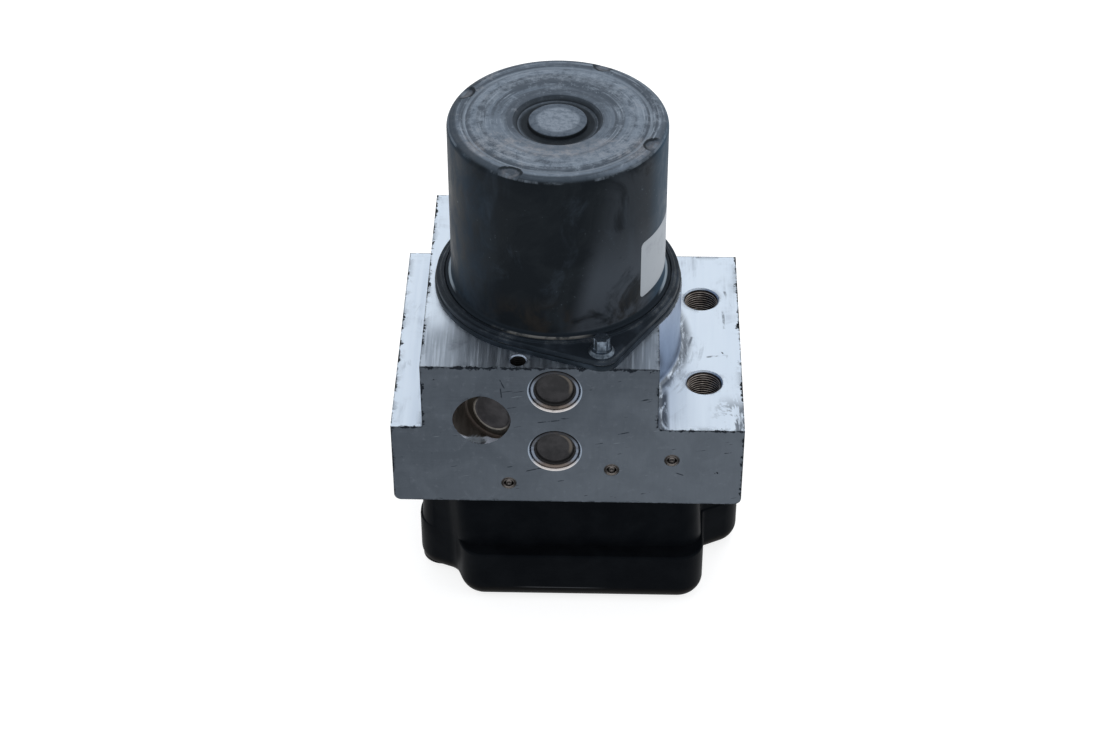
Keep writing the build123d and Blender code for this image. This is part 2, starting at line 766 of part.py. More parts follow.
def bore_plug(side, start, height):
    """Pressed plug: a short cylinder with a rim round a dished face."""
    with BuildPart() as plug:
        with BuildSketch(side_plane(side, start, height)):
            Circle(plug_radius)
        extrude(amount=plug_outer - start)
        with BuildSketch(side_plane(side, plug_outer, height)):
            Circle(plug_radius - plug_rim)
        extrude(amount=-plug_dish_depth, taper=plug_dish_taper, mode=Mode.SUBTRACT)
        with BuildSketch(side_plane(side, plug_outer - plug_dish_depth, height)):
            Circle(plug_centre_radius)
        extrude(amount=-plug_dish_depth / 3, taper=plug_centre_taper, mode=Mode.SUBTRACT)
        with BuildSketch(side_plane(side, start, height)):
            Circle(plug_back_radius)
        extrude(amount=(plug_outer - start) / 3, mode=Mode.SUBTRACT)
    return plug.part


for name, side in sides:
    with BuildPart() as pump_piston:
        with BuildSketch(side_plane(side, piston_tip, pump_z)):
            Circle(piston_radius)
        extrude(amount=piston_length)
        tip_edge = pump_piston.edges().filter_by(GeomType.CIRCLE).sort_by(Axis.Y)
        fillet(tip_edge[-1] if side < 0 else tip_edge[0], piston_tip_edge)
        # inlet passage behind the crown
        drill(piston_passage, piston_length / 2, side_plane(side, piston_tip + piston_length, pump_z))
    finish(pump_piston.part, "pump_piston_" + name)

    with BuildPart() as pump_cylinder:
        with BuildSketch(side_plane(side, cylinder_start, pump_z)):
            Circle(cylinder_radius)
        extrude(amount=cylinder_flange_start - cylinder_start)
        with BuildSketch(side_plane(side, cylinder_flange_start, pump_z)):
            Circle(plug_radius)
        extrude(amount=cylinder_end - cylinder_flange_start)
        drill(piston_radius + running_gap, cylinder_bore_end - cylinder_start,
              side_plane(side, cylinder_bore_end, pump_z))
        drill(cylinder_outlet, cylinder_end - cylinder_start, side_plane(side, cylinder_end, pump_z))
        # inlet groove round the sleeve
        with BuildSketch(side_plane(side, cylinder_flange_start - inlet_groove_start, pump_z)):
            Circle(cylinder_radius)
            Circle(cylinder_radius - inlet_groove_depth, mode=Mode.SUBTRACT)
        extrude(amount=inlet_groove_width, mode=Mode.SUBTRACT)
    finish(pump_cylinder.part, "pump_cylinder_" + name)

    spring_start = piston_tip + piston_length
    spring = coil_spring(side_plane(side, spring_start, pump_z), cylinder_bore_end - spring_start,
                         pump_spring_radius, pump_spring_wire, pump_spring_turns)
    finish(spring, "pump_spring_" + name)
    finish(bore_plug(side, cylinder_end, pump_z), "pump_plug_" + name)

    # low-pressure accumulator
    crown = accumulator_floor + moving_gap
    skirt_radius = plug_bore_radius - running_gap
    store_plug_start = plug_outer - accumulator_plug_length
    with BuildPart() as accumulator_piston:
        with BuildSketch(side_plane(side, crown, accumulator_z)):
            Circle(skirt_radius)
        extrude(amount=accumulator_piston_length)
        drill(skirt_radius - accumulator_skirt - seal_groove_depth,
              accumulator_piston_length - accumulator_crown,
              side_plane(side, crown + accumulator_piston_length, accumulator_z))
        with BuildSketch(side_plane(side, crown + seal_start, accumulator_z)):
            Circle(skirt_radius)
            Circle(skirt_radius - seal_groove_depth, mode=Mode.SUBTRACT)
        extrude(amount=seal_width, mode=Mode.SUBTRACT)
    finish(accumulator_piston.part, "accumulator_piston_" + name)

    with BuildPart() as accumulator_seal:
        with BuildSketch(side_plane(side, crown + seal_start + press_gap, accumulator_z)):
            Circle(skirt_radius)
            Circle(skirt_radius - seal_groove_depth + press_gap, mode=Mode.SUBTRACT)
        extrude(amount=seal_width - 2 * press_gap)
    finish(accumulator_seal.part, "accumulator_seal_" + name)

    spring_start = crown + accumulator_crown
    spring = coil_spring(side_plane(side, spring_start, accumulator_z), store_plug_start - spring_start,
                         accumulator_spring_radius, accumulator_spring_wire, accumulator_spring_turns)
    finish(spring, "accumulator_spring_" + name)
    finish(bore_plug(side, store_plug_start, accumulator_z), "accumulator_plug_" + name)

# --------------------------------------------------------------- damper and sealing plugs

damper_seat = damper_plane.offset(-damper_seat_depth)
with BuildPart() as damper_plug:
    with BuildSketch(damper_seat):
        Circle(damper_cap_radius)
    extrude(amount=damper_cap_proud)
    with BuildSketch(damper_seat.offset(damper_cap_proud)):
        Circle(damper_cap_radius - damper_rim)
    extrude(amount=-damper_dish_depth, taper=damper_dish_taper, mode=Mode.SUBTRACT)
    with BuildSketch(damper_seat):
        Circle(damper_body_radius)
    extrude(amount=-damper_depth + moving_gap)
    # hollow that damps the pump's pulses
    drill(damper_body_radius - damper_wall, damper_hollow_depth,
          Plane(origin=damper_seat.offset(-damper_depth + moving_gap).origin, z_dir=-damper_plane.z_dir))
finish(damper_plug.part, "damper_plug")

with BuildPart() as expander_sleeves:
    for name, side in sides:
        faces = [side_plane(side, block_depth / 2 + expander_proud, block_bottom + z, x)
                 for x, z in expander_places]
        with Locations(*faces):
            Cylinder(expander_radius, expander_length - press_gap,
                     align=(Align.CENTER, Align.CENTER, Align.MAX))
            Cylinder(expander_inner_radius, expander_length,
                     align=(Align.CENTER, Align.CENTER, Align.MAX), mode=Mode.SUBTRACT)
finish(expander_sleeves.part, "expander_sleeves")

with BuildPart() as expander_balls:
    for name, side in sides:
        faces = [side_plane(side, block_depth / 2 - expander_ball_radius, block_bottom + z, x)
                 for x, z in expander_places]
        with Locations(*faces):
            Sphere(expander_ball_radius)
finish(expander_balls.part, "expander_balls")

# --------------------------------------------------------------- solenoid valves and coils

valve_names = ("one", "two", "three", "four")
for row, row_side in (("inlet", -1), ("outlet", 1)):
    for number, x in zip(valve_names, valve_x):
        y = row_side * valve_row_y
        with BuildPart() as valve:
            # armature dome inside the coil, flange in the block's face, body and seat end
            with BuildSketch(Plane(origin=(x, y, block_bottom - dome_length))):
                Circle(dome_radius)
            extrude(amount=dome_length)
            fillet(valve.edges().sort_by(Axis.Z)[0], dome_edge)
            with BuildSketch(Plane(origin=(x, y, block_bottom))):
                Circle(valve_collar_radius)
            extrude(amount=valve_collar_height)
            with BuildSketch(Plane(origin=(x, y, block_bottom))):
                Circle(valve_body_radius)
            extrude(amount=valve_body_lengths[row])
            with BuildSketch(Plane(origin=(x, y, block_bottom))):
                Circle(valve_tip_radius)
            extrude(amount=valve_depth - moving_gap)
            # filter groove
            with BuildSketch(Plane(origin=(x, y, block_bottom + filter_groove_start))):
                Circle(valve_body_radius)
                Circle(valve_body_radius - filter_groove_depth, mode=Mode.SUBTRACT)
            extrude(amount=filter_groove_width, mode=Mode.SUBTRACT)
        finish(valve.part, row + "_valve_" + number)

coil_sides = (("inlet", -1), ("outlet", 1))
for row, row_side in coil_sides:
    with BuildPart() as coils:
        for x in valve_x:
            y = row_side * valve_row_y
            with BuildSketch(Plane(origin=(x, y, deck_top_z))):
                Circle(coil_waist)
            extrude(amount=coil_height)
            for start in (deck_top_z, deck_top_z + coil_height - coil_flange):
                with BuildSketch(Plane(origin=(x, y, start))):
                    Circle(coil_radius)
                extrude(amount=coil_flange)
            with BuildSketch(Plane(origin=(x, y, board_top_z))):
                with Locations((0, row_side * coil_pin_offset), (0, -row_side * coil_pin_offset)):
                    Rectangle(coil_pin_width, coil_pin_width)
            extrude(amount=deck_top_z - board_top_z)
            drill(dome_radius + press_gap, coil_height, Plane(origin=(x, y, deck_top_z + coil_height)))
    finish(coils.part, row + "_coils")

# ---------------------------------------------------------------------- control unit


def unit_outline(front, inset, bay_radius, ear_radius):
    """Plan of the control unit: a front bay between two ears that are set back."""
    left = ecu_left - inset
    right = ecu_right - inset
    back = block_depth / 2 - inset
    bay_left = front_bay_left + inset
    bay_right = front_bay_right - inset
    with BuildSketch() as outline:
        with BuildLine():
            FilletPolyline(
                (-bay_left, -front),
                (-bay_left - bay_flare, -left_ear_front - left_ear_slope),
                (-left, -left_ear_front),
                (-left, left_ear_length - left_ear_front),
                (left_ear_step - left, left_ear_length + ear_step_length - left_ear_front),
                (left_ear_step - left, back),
                (right, back),
                (right, -right_ear_front),
                (bay_right, -right_ear_front - right_ear_slope),
                (bay_right, -front),
                radius=[
                    bay_radius, ear_root_radius, ear_radius, ear_step_radius, ear_step_radius,
                    back_corner_radius, back_corner_radius, ear_radius, right_root_radius, bay_radius,
                ],
                close=True,
            )
        make_face()
    return outline.sketch


unit_front = block_depth / 2 - press_gap
wall_front = unit_front - ledge_depth
rim_plan = unit_outline(unit_front, 0.0, 9.0, 9.0)
wall_plan = unit_outline(wall_front, wall_inset, 8.0, 8.0)
wall_top_z = block_bottom - moving_gap
rim_overlap = 1.0
wall_rise = (wall_top_z - rim_top_z + rim_overlap) * tan(radians(wall_draft))
wall_top_plan = unit_outline(wall_front - wall_rise, wall_inset + wall_rise, 7.0, 7.0)
connector_front = block_depth / 2
connector_middle = connector_front + connector_depth / 2
connector_x = block_offset
cavity_length = connector_length - 2 * connector_wall
cavity_depth = connector_depth - 2 * connector_wall
pin_places = [
    (
        connector_x + (column - (pin_columns - 1) / 2 + row / 4) * pin_pitch,
        connector_middle + row * row_offset,
    )
    for column in range(pin_columns)
    for row in (-1, 1)
]
power_places = [(connector_x + side * power_pin_offset, connector_middle) for side in (-1, 1)]

board_edge = block_depth / 2 - ecu_wall - pin_leg_inset
pins = [(x, y, pin_width) for x, y in pin_places] + [(x, y, power_pin_width) for x, y in power_places]


def lead_height(y):
    """Underside of a pin's lead: the rear row's leads pass over the front row's."""
    return pin_lead_z + (pin_row_rise if y > connector_middle else 0)


# straight tips of the pins in the socket
with BuildPart() as connector_pins:
    for x, y, width in pins:
        tip_z = lead_height(y) + pin_width
        with BuildSketch(Plane(origin=(x, y, tip_z))):
            Rectangle(width, pin_width)
        extrude(amount=pin_tip_z - tip_z)
finish(connector_pins.part, "connector_pins")

# leads under the tips: a foot that runs forward and a leg on the board
with BuildPart() as connector_leads:
    for x, y, width in pins:
        leg_y = board_edge - (pin_leg_step if y > connector_middle else 0)
        with BuildSketch(Plane(origin=(x, (y + leg_y) / 2, lead_height(y)))):
            Rectangle(width, y - leg_y + pin_width)
        extrude(amount=pin_width)
        with BuildSketch(Plane(origin=(x, leg_y, board_top_z))):
            Rectangle(width, pin_width)
        extrude(amount=lead_height(y) - board_top_z)
finish(connector_leads.part, "connector_leads")

with BuildPart() as ecu_housing:
    with BuildSketch(Plane.XY.offset(lid_joint_z)):
        add(rim_plan)
    extrude(amount=rim_top_z - lid_joint_z)
    fillet(ecu_housing.edges().filter_by_position(Axis.Z, rim_top_z, rim_top_z), rim_edge)
    with BuildSketch(Plane.XY.offset(rim_top_z - rim_overlap)):
        add(wall_plan)
    with BuildSketch(Plane.XY.offset(wall_top_z)):
        add(wall_top_plan)
    loft()
    # harness connector shroud
    with BuildSketch(Plane.XY.offset(connector_root_z)):
        with Locations((connector_x, connector_middle - shroud_root / 2)):
            RectangleRounded(connector_length, connector_depth + shroud_root, shroud_corner)
    extrude(amount=connector_top_z - connector_root_z)
    # coil chamber above the deck and board chamber below it
    with BuildSketch(Plane.XY.offset(deck_top_z)):
        offset(wall_top_plan, amount=-ecu_wall)
    extrude(amount=wall_top_z - deck_top_z, mode=Mode.SUBTRACT)
    with BuildSketch(Plane.XY.offset(connector_root_z)):
        offset(rim_plan, amount=-ecu_wall)
    extrude(amount=deck_z - connector_root_z, mode=Mode.SUBTRACT)
    with BuildSketch(Plane.XY.offset(connector_root_z)):
        add(rim_plan)
    extrude(amount=lid_joint_z - connector_root_z, mode=Mode.SUBTRACT)
    # socket for the harness plug
    with BuildSketch(Plane.XY.offset(connector_floor_z)):
        with Locations((connector_x, connector_middle)):
            RectangleRounded(cavity_length, cavity_depth, cavity_corner)
    extrude(amount=connector_top_z - connector_floor_z, mode=Mode.SUBTRACT)
    # screw towers
    for x, y in screw_places:
        with BuildSketch(Plane(origin=(x, y, deck_z))):
            Circle(screw_tower_radius)
        extrude(amount=block_bottom - deck_z)
        with BuildSketch(Plane(origin=(x, y, lid_joint_z))):
            Circle(chimney_radius + chimney_wall)
        extrude(amount=deck_z - lid_joint_z)
        drill(screw_radius + moving_gap, block_bottom - lid_joint_z, Plane(origin=(x, y, block_bottom)))
    # slots in the deck for the coils' pins and the motor's terminals
    coil_pin_places = [
        (x, row_side * valve_row_y + end * coil_pin_offset)
        for x in valve_x
        for row_side in (-1, 1)
        for end in (-1, 1)
    ]
    with BuildSketch(Plane.XY.offset(deck_z)):
        with Locations(*coil_pin_places):
            Rectangle(coil_pin_width + 2 * pin_room, coil_pin_width + 2 * pin_room)
        with Locations(*terminal_pin_places):
            Rectangle(terminal_width + 2 * pin_room, terminal_width + 2 * pin_room)
    extrude(amount=deck_thickness, mode=Mode.SUBTRACT)
    # posts that the board hangs on
    with BuildSketch(Plane.XY.offset(board_top_z)):
        with Locations(*hanging_post_places):
            Circle(post_radius)
    extrude(amount=deck_z - board_top_z)
    # groove for the seal against the block
    with BuildSketch(Plane.XY.offset(wall_top_z - seal_depth)):
        offset(wall_top_plan, amount=-seal_inset)
        offset(wall_top_plan, amount=-seal_inset - seal_thickness, mode=Mode.SUBTRACT)
    extrude(amount=block_bottom - wall_top_z + seal_depth, mode=Mode.SUBTRACT)
    add(connector_pins.part, mode=Mode.SUBTRACT)
    add(connector_leads.part, mode=Mode.SUBTRACT)
finish(ecu_housing.part, "ecu_housing")

with BuildPart() as ecu_seal:
    with BuildSketch(Plane.XY.offset(wall_top_z - seal_depth)):
        offset(wall_top_plan, amount=-seal_inset - press_gap)
        offset(wall_top_plan, amount=-seal_inset - seal_thickness + press_gap, mode=Mode.SUBTRACT)
    extrude(amount=block_bottom - wall_top_z + seal_depth)
finish(ecu_seal.part, "ecu_seal")

with BuildPart() as ecu_lid:
    with BuildSketch():
        add(rim_plan)
    extrude(amount=lid_joint_z)
    fillet(ecu_lid.edges().group_by(Axis.Z)[0], lid_edge_radius)
    with BuildSketch(Plane.XY.offset(lid_floor)):
        offset(rim_plan, amount=-ecu_wall)
    extrude(amount=lid_joint_z - lid_floor, mode=Mode.SUBTRACT)
    # the floor is thick where it meets the rounded edge
    with BuildSketch(Plane.XY.offset(lid_floor)):
        offset(rim_plan, amount=-ecu_wall)
        offset(rim_plan, amount=-lid_edge_radius, mode=Mode.SUBTRACT)
    extrude(amount=lid_edge_radius / 2 - lid_floor / 2)
    # open chimneys that let the screws through from below
    for x, y in screw_places:
        with BuildSketch(Plane(origin=(x, y, lid_floor))):
            Circle(chimney_radius + chimney_wall)
        extrude(amount=lid_joint_z - lid_floor)
        drill(chimney_radius, lid_joint_z, Plane(origin=(x, y, lid_joint_z)))
    # posts under the board
    with BuildSketch(Plane.XY.offset(lid_floor)):
        with Locations(*standing_post_places):
            Circle(post_radius)
    extrude(amount=board_z - lid_floor)
finish(ecu_lid.part, "ecu_lid")

with BuildPart() as circuit_board:
    with BuildSketch(Plane.XY.offset(board_z)):
        offset(rim_plan, amount=-ecu_wall - board_clearance)
        with Locations(*screw_places):
            Circle(chimney_radius + chimney_wall + moving_gap, mode=Mode.SUBTRACT)
    extrude(amount=board_thickness)
    # processor, valve drivers, relay and capacitors on the lower face
    with BuildSketch(Plane.XY.offset(board_z)):
        with Locations((2.0, 2.0)):
            Rectangle(processor_size, processor_size)
        with GridLocations(16.0, 50.0, 4, 1):
            with Locations((8.0, -22.0)):
                Rectangle(*driver_size)
        with Locations((-30.0, 4.0)):
            Rectangle(*relay_size)
    extrude(amount=-board_part_height)
finish(circuit_board.part, "circuit_board")

with BuildPart() as ecu_screws:
    for x, y in screw_places:
        with BuildSketch(Plane(origin=(x, y, lid_joint_z))):
            Circle(screw_radius)
        extrude(amount=block_bottom - lid_joint_z + screw_depth - moving_gap)
        with BuildSketch(Plane(origin=(x, y, lid_joint_z))):
            Circle(screw_head_radius)
        extrude(amount=-screw_head_height)
        with BuildSketch(Plane(origin=(x, y, lid_joint_z - screw_head_height))):
            RegularPolygon(screw_head_radius * 0.55, 6)
        extrude(amount=screw_head_height / 2, mode=Mode.SUBTRACT)
finish(ecu_screws.part, "ecu_screws")
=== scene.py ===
import json
import math

import bmesh
import bpy
from mathutils import Matrix, Vector


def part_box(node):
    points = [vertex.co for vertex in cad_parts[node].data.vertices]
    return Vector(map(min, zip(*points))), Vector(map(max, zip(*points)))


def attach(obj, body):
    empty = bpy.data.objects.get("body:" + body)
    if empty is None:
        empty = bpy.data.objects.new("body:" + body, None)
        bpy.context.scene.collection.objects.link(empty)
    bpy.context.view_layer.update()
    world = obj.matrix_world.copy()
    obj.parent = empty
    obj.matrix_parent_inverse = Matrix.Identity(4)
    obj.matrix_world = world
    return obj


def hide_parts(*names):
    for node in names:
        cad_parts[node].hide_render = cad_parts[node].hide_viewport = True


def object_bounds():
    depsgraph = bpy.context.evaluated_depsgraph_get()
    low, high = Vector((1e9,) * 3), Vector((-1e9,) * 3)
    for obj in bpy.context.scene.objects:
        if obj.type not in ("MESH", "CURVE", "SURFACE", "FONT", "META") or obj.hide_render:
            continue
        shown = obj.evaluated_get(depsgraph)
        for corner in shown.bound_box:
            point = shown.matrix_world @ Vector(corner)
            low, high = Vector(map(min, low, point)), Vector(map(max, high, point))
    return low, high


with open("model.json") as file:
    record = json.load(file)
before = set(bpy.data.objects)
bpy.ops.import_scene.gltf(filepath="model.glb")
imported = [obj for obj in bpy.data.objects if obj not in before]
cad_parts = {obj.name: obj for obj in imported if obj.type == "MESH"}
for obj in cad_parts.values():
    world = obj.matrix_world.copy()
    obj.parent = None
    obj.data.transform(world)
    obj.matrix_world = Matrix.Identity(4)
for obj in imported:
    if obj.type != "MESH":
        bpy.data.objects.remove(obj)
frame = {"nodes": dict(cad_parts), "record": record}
cad_box = [list(corner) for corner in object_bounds()]
scene = bpy.context.scene
MM = 0.001


# --- Hydraulic block ------------------------------------------------------------------
# A block sawn and milled from an aluminium extrusion. The upward faces are bright and
# streaked by the cutter, the flanks and the plug face are painted darker as shade, the plug
# face also duller in finish, and handling has nicked its corners.

def as_piece(shape, name):
    """The shape as a named piece in the scene."""
    mesh = bpy.data.meshes.new(name)
    shape.to_mesh(mesh)
    shape.free()
    piece = bpy.data.objects.new(name, mesh)
    scene.collection.objects.link(piece)
    return piece


def merged_copy(node, name, bevel=0.0, sharp=32.0):
    """A welded copy of a CAD node that stands for it, with its sharp edges broken."""
    shape = bmesh.new()
    shape.from_mesh(frame["nodes"][node].data)
    bmesh.ops.remove_doubles(shape, verts=shape.verts, dist=0.004 * MM)
    bmesh.ops.dissolve_degenerate(shape, edges=shape.edges, dist=0.002 * MM)
    flat = math.radians(0.6)
    bmesh.ops.dissolve_limit(shape, angle_limit=flat, verts=shape.verts, edges=shape.edges)
    piece = as_piece(shape, name)
    if bevel:
        edge = piece.modifiers.new("broken_edges", "BEVEL")
        edge.width = bevel * MM
        edge.segments = 2
        edge.limit_method = "ANGLE"
        edge.angle_limit = math.radians(sharp)
        edge.use_clamp_overlap = True
        edge.harden_normals = False
    smooth_faces(piece, sharp)
    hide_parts(node)
    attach(piece, body_of_node(node))
    return piece


def body_of_node(node):
    """The body that carries a node, as the record has it."""
    for body, members in frame["record"]["behaviour"]["bodies"].items():
        if node in members:
            return body


def smooth_faces(piece, sharp):
    """Smooth shading that stops at edges sharper than an angle."""
    shape = bmesh.new()
    shape.from_mesh(piece.data)
    for face in shape.faces:
        face.smooth = True
    for edge in shape.edges:
        edge.smooth = edge.is_manifold and edge.calc_face_angle(0.0) < math.radians(sharp)
    shape.to_mesh(piece.data)
    shape.free()


def start_material(name, roughness=0.5, metallic=0.0, specular=0.5, gloss=(1.0, 1.0, 1.0)):
    """A new material with its shader and its object coordinates."""
    material = bpy.data.materials.new(name)
    material.use_nodes = True
    tree = material.node_tree
    shader = tree.nodes["Principled BSDF"]
    set_inputs(shader, {"Roughness": roughness, "Metallic": metallic,
                        "Specular IOR Level": specular, "Specular Tint": (*gloss, 1.0)})
    place = tree.nodes.new("ShaderNodeTexCoord").outputs["Object"]
    return material, shader, place


def set_inputs(node, values):
    for title, value in values.items():
        node.inputs[title].default_value = value


def new_node(near, kind):
    """A node of a kind, in the tree that a socket or another node belongs to."""
    return near.id_data.nodes.new(kind)


def wire(value, socket):
    value.id_data.links.new(value, socket)


def vector_maths(vector, operation):
    """A vector calculation on a socket; a second input is set or wired afterwards."""
    node = new_node(vector, "ShaderNodeVectorMath")
    node.operation = operation
    wire(vector, node.inputs[0])
    return node


def noise_value(place, scale, detail=4.0, roughness=0.6, stretch=(1, 1, 1), distortion=0.0):
    """Noise on object coordinates, stretched along an axis where the marks run that way."""
    mapping = new_node(place, "ShaderNodeMapping")
    set_inputs(mapping, {"Scale": stretch})
    wire(place, mapping.inputs["Vector"])
    texture = new_node(place, "ShaderNodeTexNoise")
    set_inputs(texture, {"Scale": scale, "Detail": detail, "Roughness": roughness,
                         "Distortion": distortion})
    wire(mapping.outputs["Vector"], texture.inputs["Vector"])
    return texture.outputs["Fac"]


def between(value, low, high, to_low=0.0, to_high=1.0):
    """Maps a value from one range to another, smoothly and clamped."""
    node = new_node(value, "ShaderNodeMapRange")
    node.interpolation_type = "SMOOTHSTEP"
    for index, number in enumerate((low, high, to_low, to_high)):
        node.inputs[index + 1].default_value = number
    wire(value, node.inputs[0])
    return node.outputs[0]


def maths(operation, first, second=None, clamp=False):
    """A calculation with sockets and numbers, of which one at least is a socket."""
    node = new_node(second if isinstance(first, (int, float)) else first, "ShaderNodeMath")
    node.operation = operation
    node.use_clamp = clamp
    for socket, value in zip(node.inputs, (first, second)):
        if value is None:
            continue
        if isinstance(value, (int, float)):
            socket.default_value = value
        else:
            wire(value, socket)
    return node.outputs[0]


def plus(first, second):
    return maths("ADD", first, second)


def minus(first, second):
    return maths("SUBTRACT", first, second)


def apart(first, second):
    return maths("ABSOLUTE", minus(first, second))


def largest(first, second):
    return maths("MAXIMUM", first, second)


def product(*masks):
    """The product of masks: each is a socket, a number or a (value, low, high) range."""
    masks = [between(*mask) if isinstance(mask, tuple) else mask for mask in masks]
    result = masks[0]
    for mask in masks[1:]:
        result = maths("MULTIPLY", result, mask)
    return result


def lay_over(base, colour, *masks):
    """Lays a colour over a base, each an (r, g, b) or a socket, where the masks allow it."""
    factor = product(*masks)
    node = new_node(factor, "ShaderNodeMix")
    node.data_type = "RGBA"
    colours = [socket for socket in node.inputs if socket.type == "RGBA"]
    for socket, value in zip(colours, (base, colour)):
        if isinstance(value, tuple):
            socket.default_value = (*value, 1.0)
        else:
            wire(value, socket)
    wire(factor, node.inputs["Factor"])
    return [socket for socket in node.outputs if socket.type == "RGBA"][0]


def lay_all(base, *layers):
    """Lays colours over a base in turn; a layer is a colour and its masks."""
    for layer in layers:
        base = lay_over(base, *layer)
    return base


def paint(shader, colour):
    wire(colour, shader.inputs["Base Color"])


def give_bump(shader, height, distance, strength):
    """Relief from a height value, over a distance in mm."""
    bump = new_node(shader, "ShaderNodeBump")
    set_inputs(bump, {"Strength": strength, "Distance": distance * MM})
    wire(height, bump.inputs["Height"])
    wire(bump.outputs["Normal"], shader.inputs["Normal"])


# Corners caught by other metal: the difference between the true and a rounded normal
# marks them, and noise breaks the mark into separate nicks.
edge_nicks = bpy.data.node_groups.new("edge_nicks", "ShaderNodeTree")
for title, kind, way in (("Place", "Vector", "INPUT"), ("Reach", "Float", "INPUT"),
                         ("Scale", "Float", "INPUT"), ("Cover", "Float", "INPUT"),
                         ("Edge", "Float", "OUTPUT"), ("Nicks", "Float", "OUTPUT")):
    edge_nicks.interface.new_socket(title, in_out=way, socket_type="NodeSocket" + kind)
given = edge_nicks.nodes.new("NodeGroupInput")
made = edge_nicks.nodes.new("NodeGroupOutput")
rounded = new_node(given, "ShaderNodeBevel")
rounded.samples = 6
wire(given.outputs["Reach"], rounded.inputs["Radius"])
surface = new_node(given, "ShaderNodeNewGeometry")
agree = vector_maths(rounded.outputs[0], "DOT_PRODUCT")
wire(surface.outputs["Normal"], agree.inputs[1])
edge = between(agree.outputs["Value"], 0.99, 0.86)
specks = new_node(given, "ShaderNodeTexNoise")
set_inputs(specks, {"Detail": 5.0, "Roughness": 0.7})
wire(given.outputs["Place"], specks.inputs["Vector"])
wire(given.outputs["Scale"], specks.inputs["Scale"])
over = minus(specks.outputs["Fac"], given.outputs["Cover"])
wire(edge, made.inputs["Edge"])
wire(product(edge, (over, 0.06, 0.12)), made.inputs["Nicks"])


def use_group(group, place, **values):
    """A group on the object coordinates, with its other inputs set."""
    node = new_node(place, "ShaderNodeGroup")
    node.node_tree = group
    wire(place, node.inputs["Place"])
    set_inputs(node, values)
    return node.outputs


def facing(place, axis, sign, low=0.55, high=0.9):
    """How far the surface faces along an axis of the part."""
    surface = new_node(place, "ShaderNodeNewGeometry").outputs["Normal"]
    split = new_node(place, "ShaderNodeSeparateXYZ")
    wire(surface, split.inputs[0])
    return between(product(split.outputs[axis], float(sign)), low, high)


def part_axes(place):
    """The three object coordinates, in mm."""
    scaled = vector_maths(place, "SCALE")
    set_inputs(scaled, {"Scale": 1 / MM})
    split = new_node(place, "ShaderNodeSeparateXYZ")
    wire(scaled.outputs["Vector"], split.inputs[0])
    return split.outputs[0], split.outputs[1], split.outputs[2]


def from_centre(first, second, centre=(0.0, 0.0)):
    """Distance in a plane from a centre, in mm."""
    first = minus(first, centre[0])
    second = minus(second, centre[1])
    return maths("SQRT", plus(product(first, first), product(second, second)))


def reach_from(place, point):
    """The way from a point that is given in mm, and its length, both in metres."""
    offset = vector_maths(place, "SUBTRACT")
    offset.inputs[1].default_value = point * MM
    way = offset.outputs["Vector"]
    return way, vector_maths(way, "LENGTH").outputs["Value"]


def swept_place(first, second, distance, pitch):
    """Coordinates for marks that run round a centre: the distance, then the two directions."""
    node = new_node(first, "ShaderNodeCombineXYZ")
    wire(product(distance, pitch), node.inputs[0])
    wire(maths("DIVIDE", first, distance), node.inputs[1])
    wire(maths("DIVIDE", second, distance), node.inputs[2])
    return node.outputs[0]


def direction(first, second, towards):
    """Position along a direction in a plane, in mm."""
    return plus(product(first, towards[0]), product(second, towards[1]))


def scratch_mask(first, second, start, end, width):
    """A scratch between two points of a plane, in mm."""
    run = Vector(end) - Vector(start)
    middle = (Vector(start) + Vector(end)) / 2
    first = minus(first, middle.x)
    second = minus(second, middle.y)
    ahead = run.normalized()
    lengthwise = maths("ABSOLUTE", direction(first, second, ahead))
    sideways = maths("ABSOLUTE", direction(first, second, (-ahead.y, ahead.x)))
    ends = between(lengthwise, run.length / 2, run.length / 2 - 0.8)
    return product(ends, (sideways, width, width * 0.4))


aluminium_bright = (0.66, 0.755, 0.87)
raised_can_reflection = (0.37, 0.43, 0.51)
aluminium_stain = (0.3, 0.35, 0.42)
aluminium_smudge = (0.1, 0.12, 0.15)
foot_shade_grime = (0.05, 0.062, 0.082)
aluminium_front = (0.058, 0.069, 0.084)
aluminium_front_light = (0.088, 0.103, 0.123)
aluminium_side = (0.25, 0.31, 0.42)
front_grain = (0.15, 0.17, 0.2)
pale_scratch = (0.22, 0.25, 0.28)
bore_shade = (0.03, 0.028, 0.027)
pocket_wall = (0.165, 0.15, 0.14)
pocket_haze = (0.19, 0.165, 0.155)
pocket_seat_shadow = (0.055, 0.05, 0.043)
pocket_land_highlight = (0.4, 0.43, 0.5)
mouth_side = (0.27, 0.32, 0.39)
mouth_highlight = (0.62, 0.6, 0.6)
grime = (0.01, 0.013, 0.018)
plug_heights = (96.4, 70.5)
expander_places = [(-15.6, 55.7), (19.1, 62.3), (39.3, 66.9)]
damper_place = Vector((-22.8, -48.15, 83.5))
damper_slant = math.radians(25.0)
damper_out = Vector((-math.sin(damper_slant), -math.cos(damper_slant), 0.0))
damper_mouth = 10.2
block_face = 48.15
motor_seat = 106.2
step_height = 80.3
block_left, block_right = -54.8, 63.2
raised_left, raised_right = -44.2, 34.3
face_scratches = [((-11.0, 60.8), (-1.7, 63.6)), ((-6.0, 82.8), (2.2, 84.0)),
                  ((40.6, 61.4), (44.8, 59.7)), ((-18.2, 101.4), (-16.4, 97.0)),
                  ((-17.9, 98.2), (-17.5, 93.0)), ((20.5, 78.0), (25.0, 79.2))]
step_scratches = [((58.4, 28.0), (60.4, 18.5)), ((57.6, 17.0), (57.9, 6.0)), ((58.0, -7.5), (61.4, -19.0)),
                  ((51.0, -9.5), (58.0, -8.0)), ((46.5, 2.0), (44.0, -9.0))]

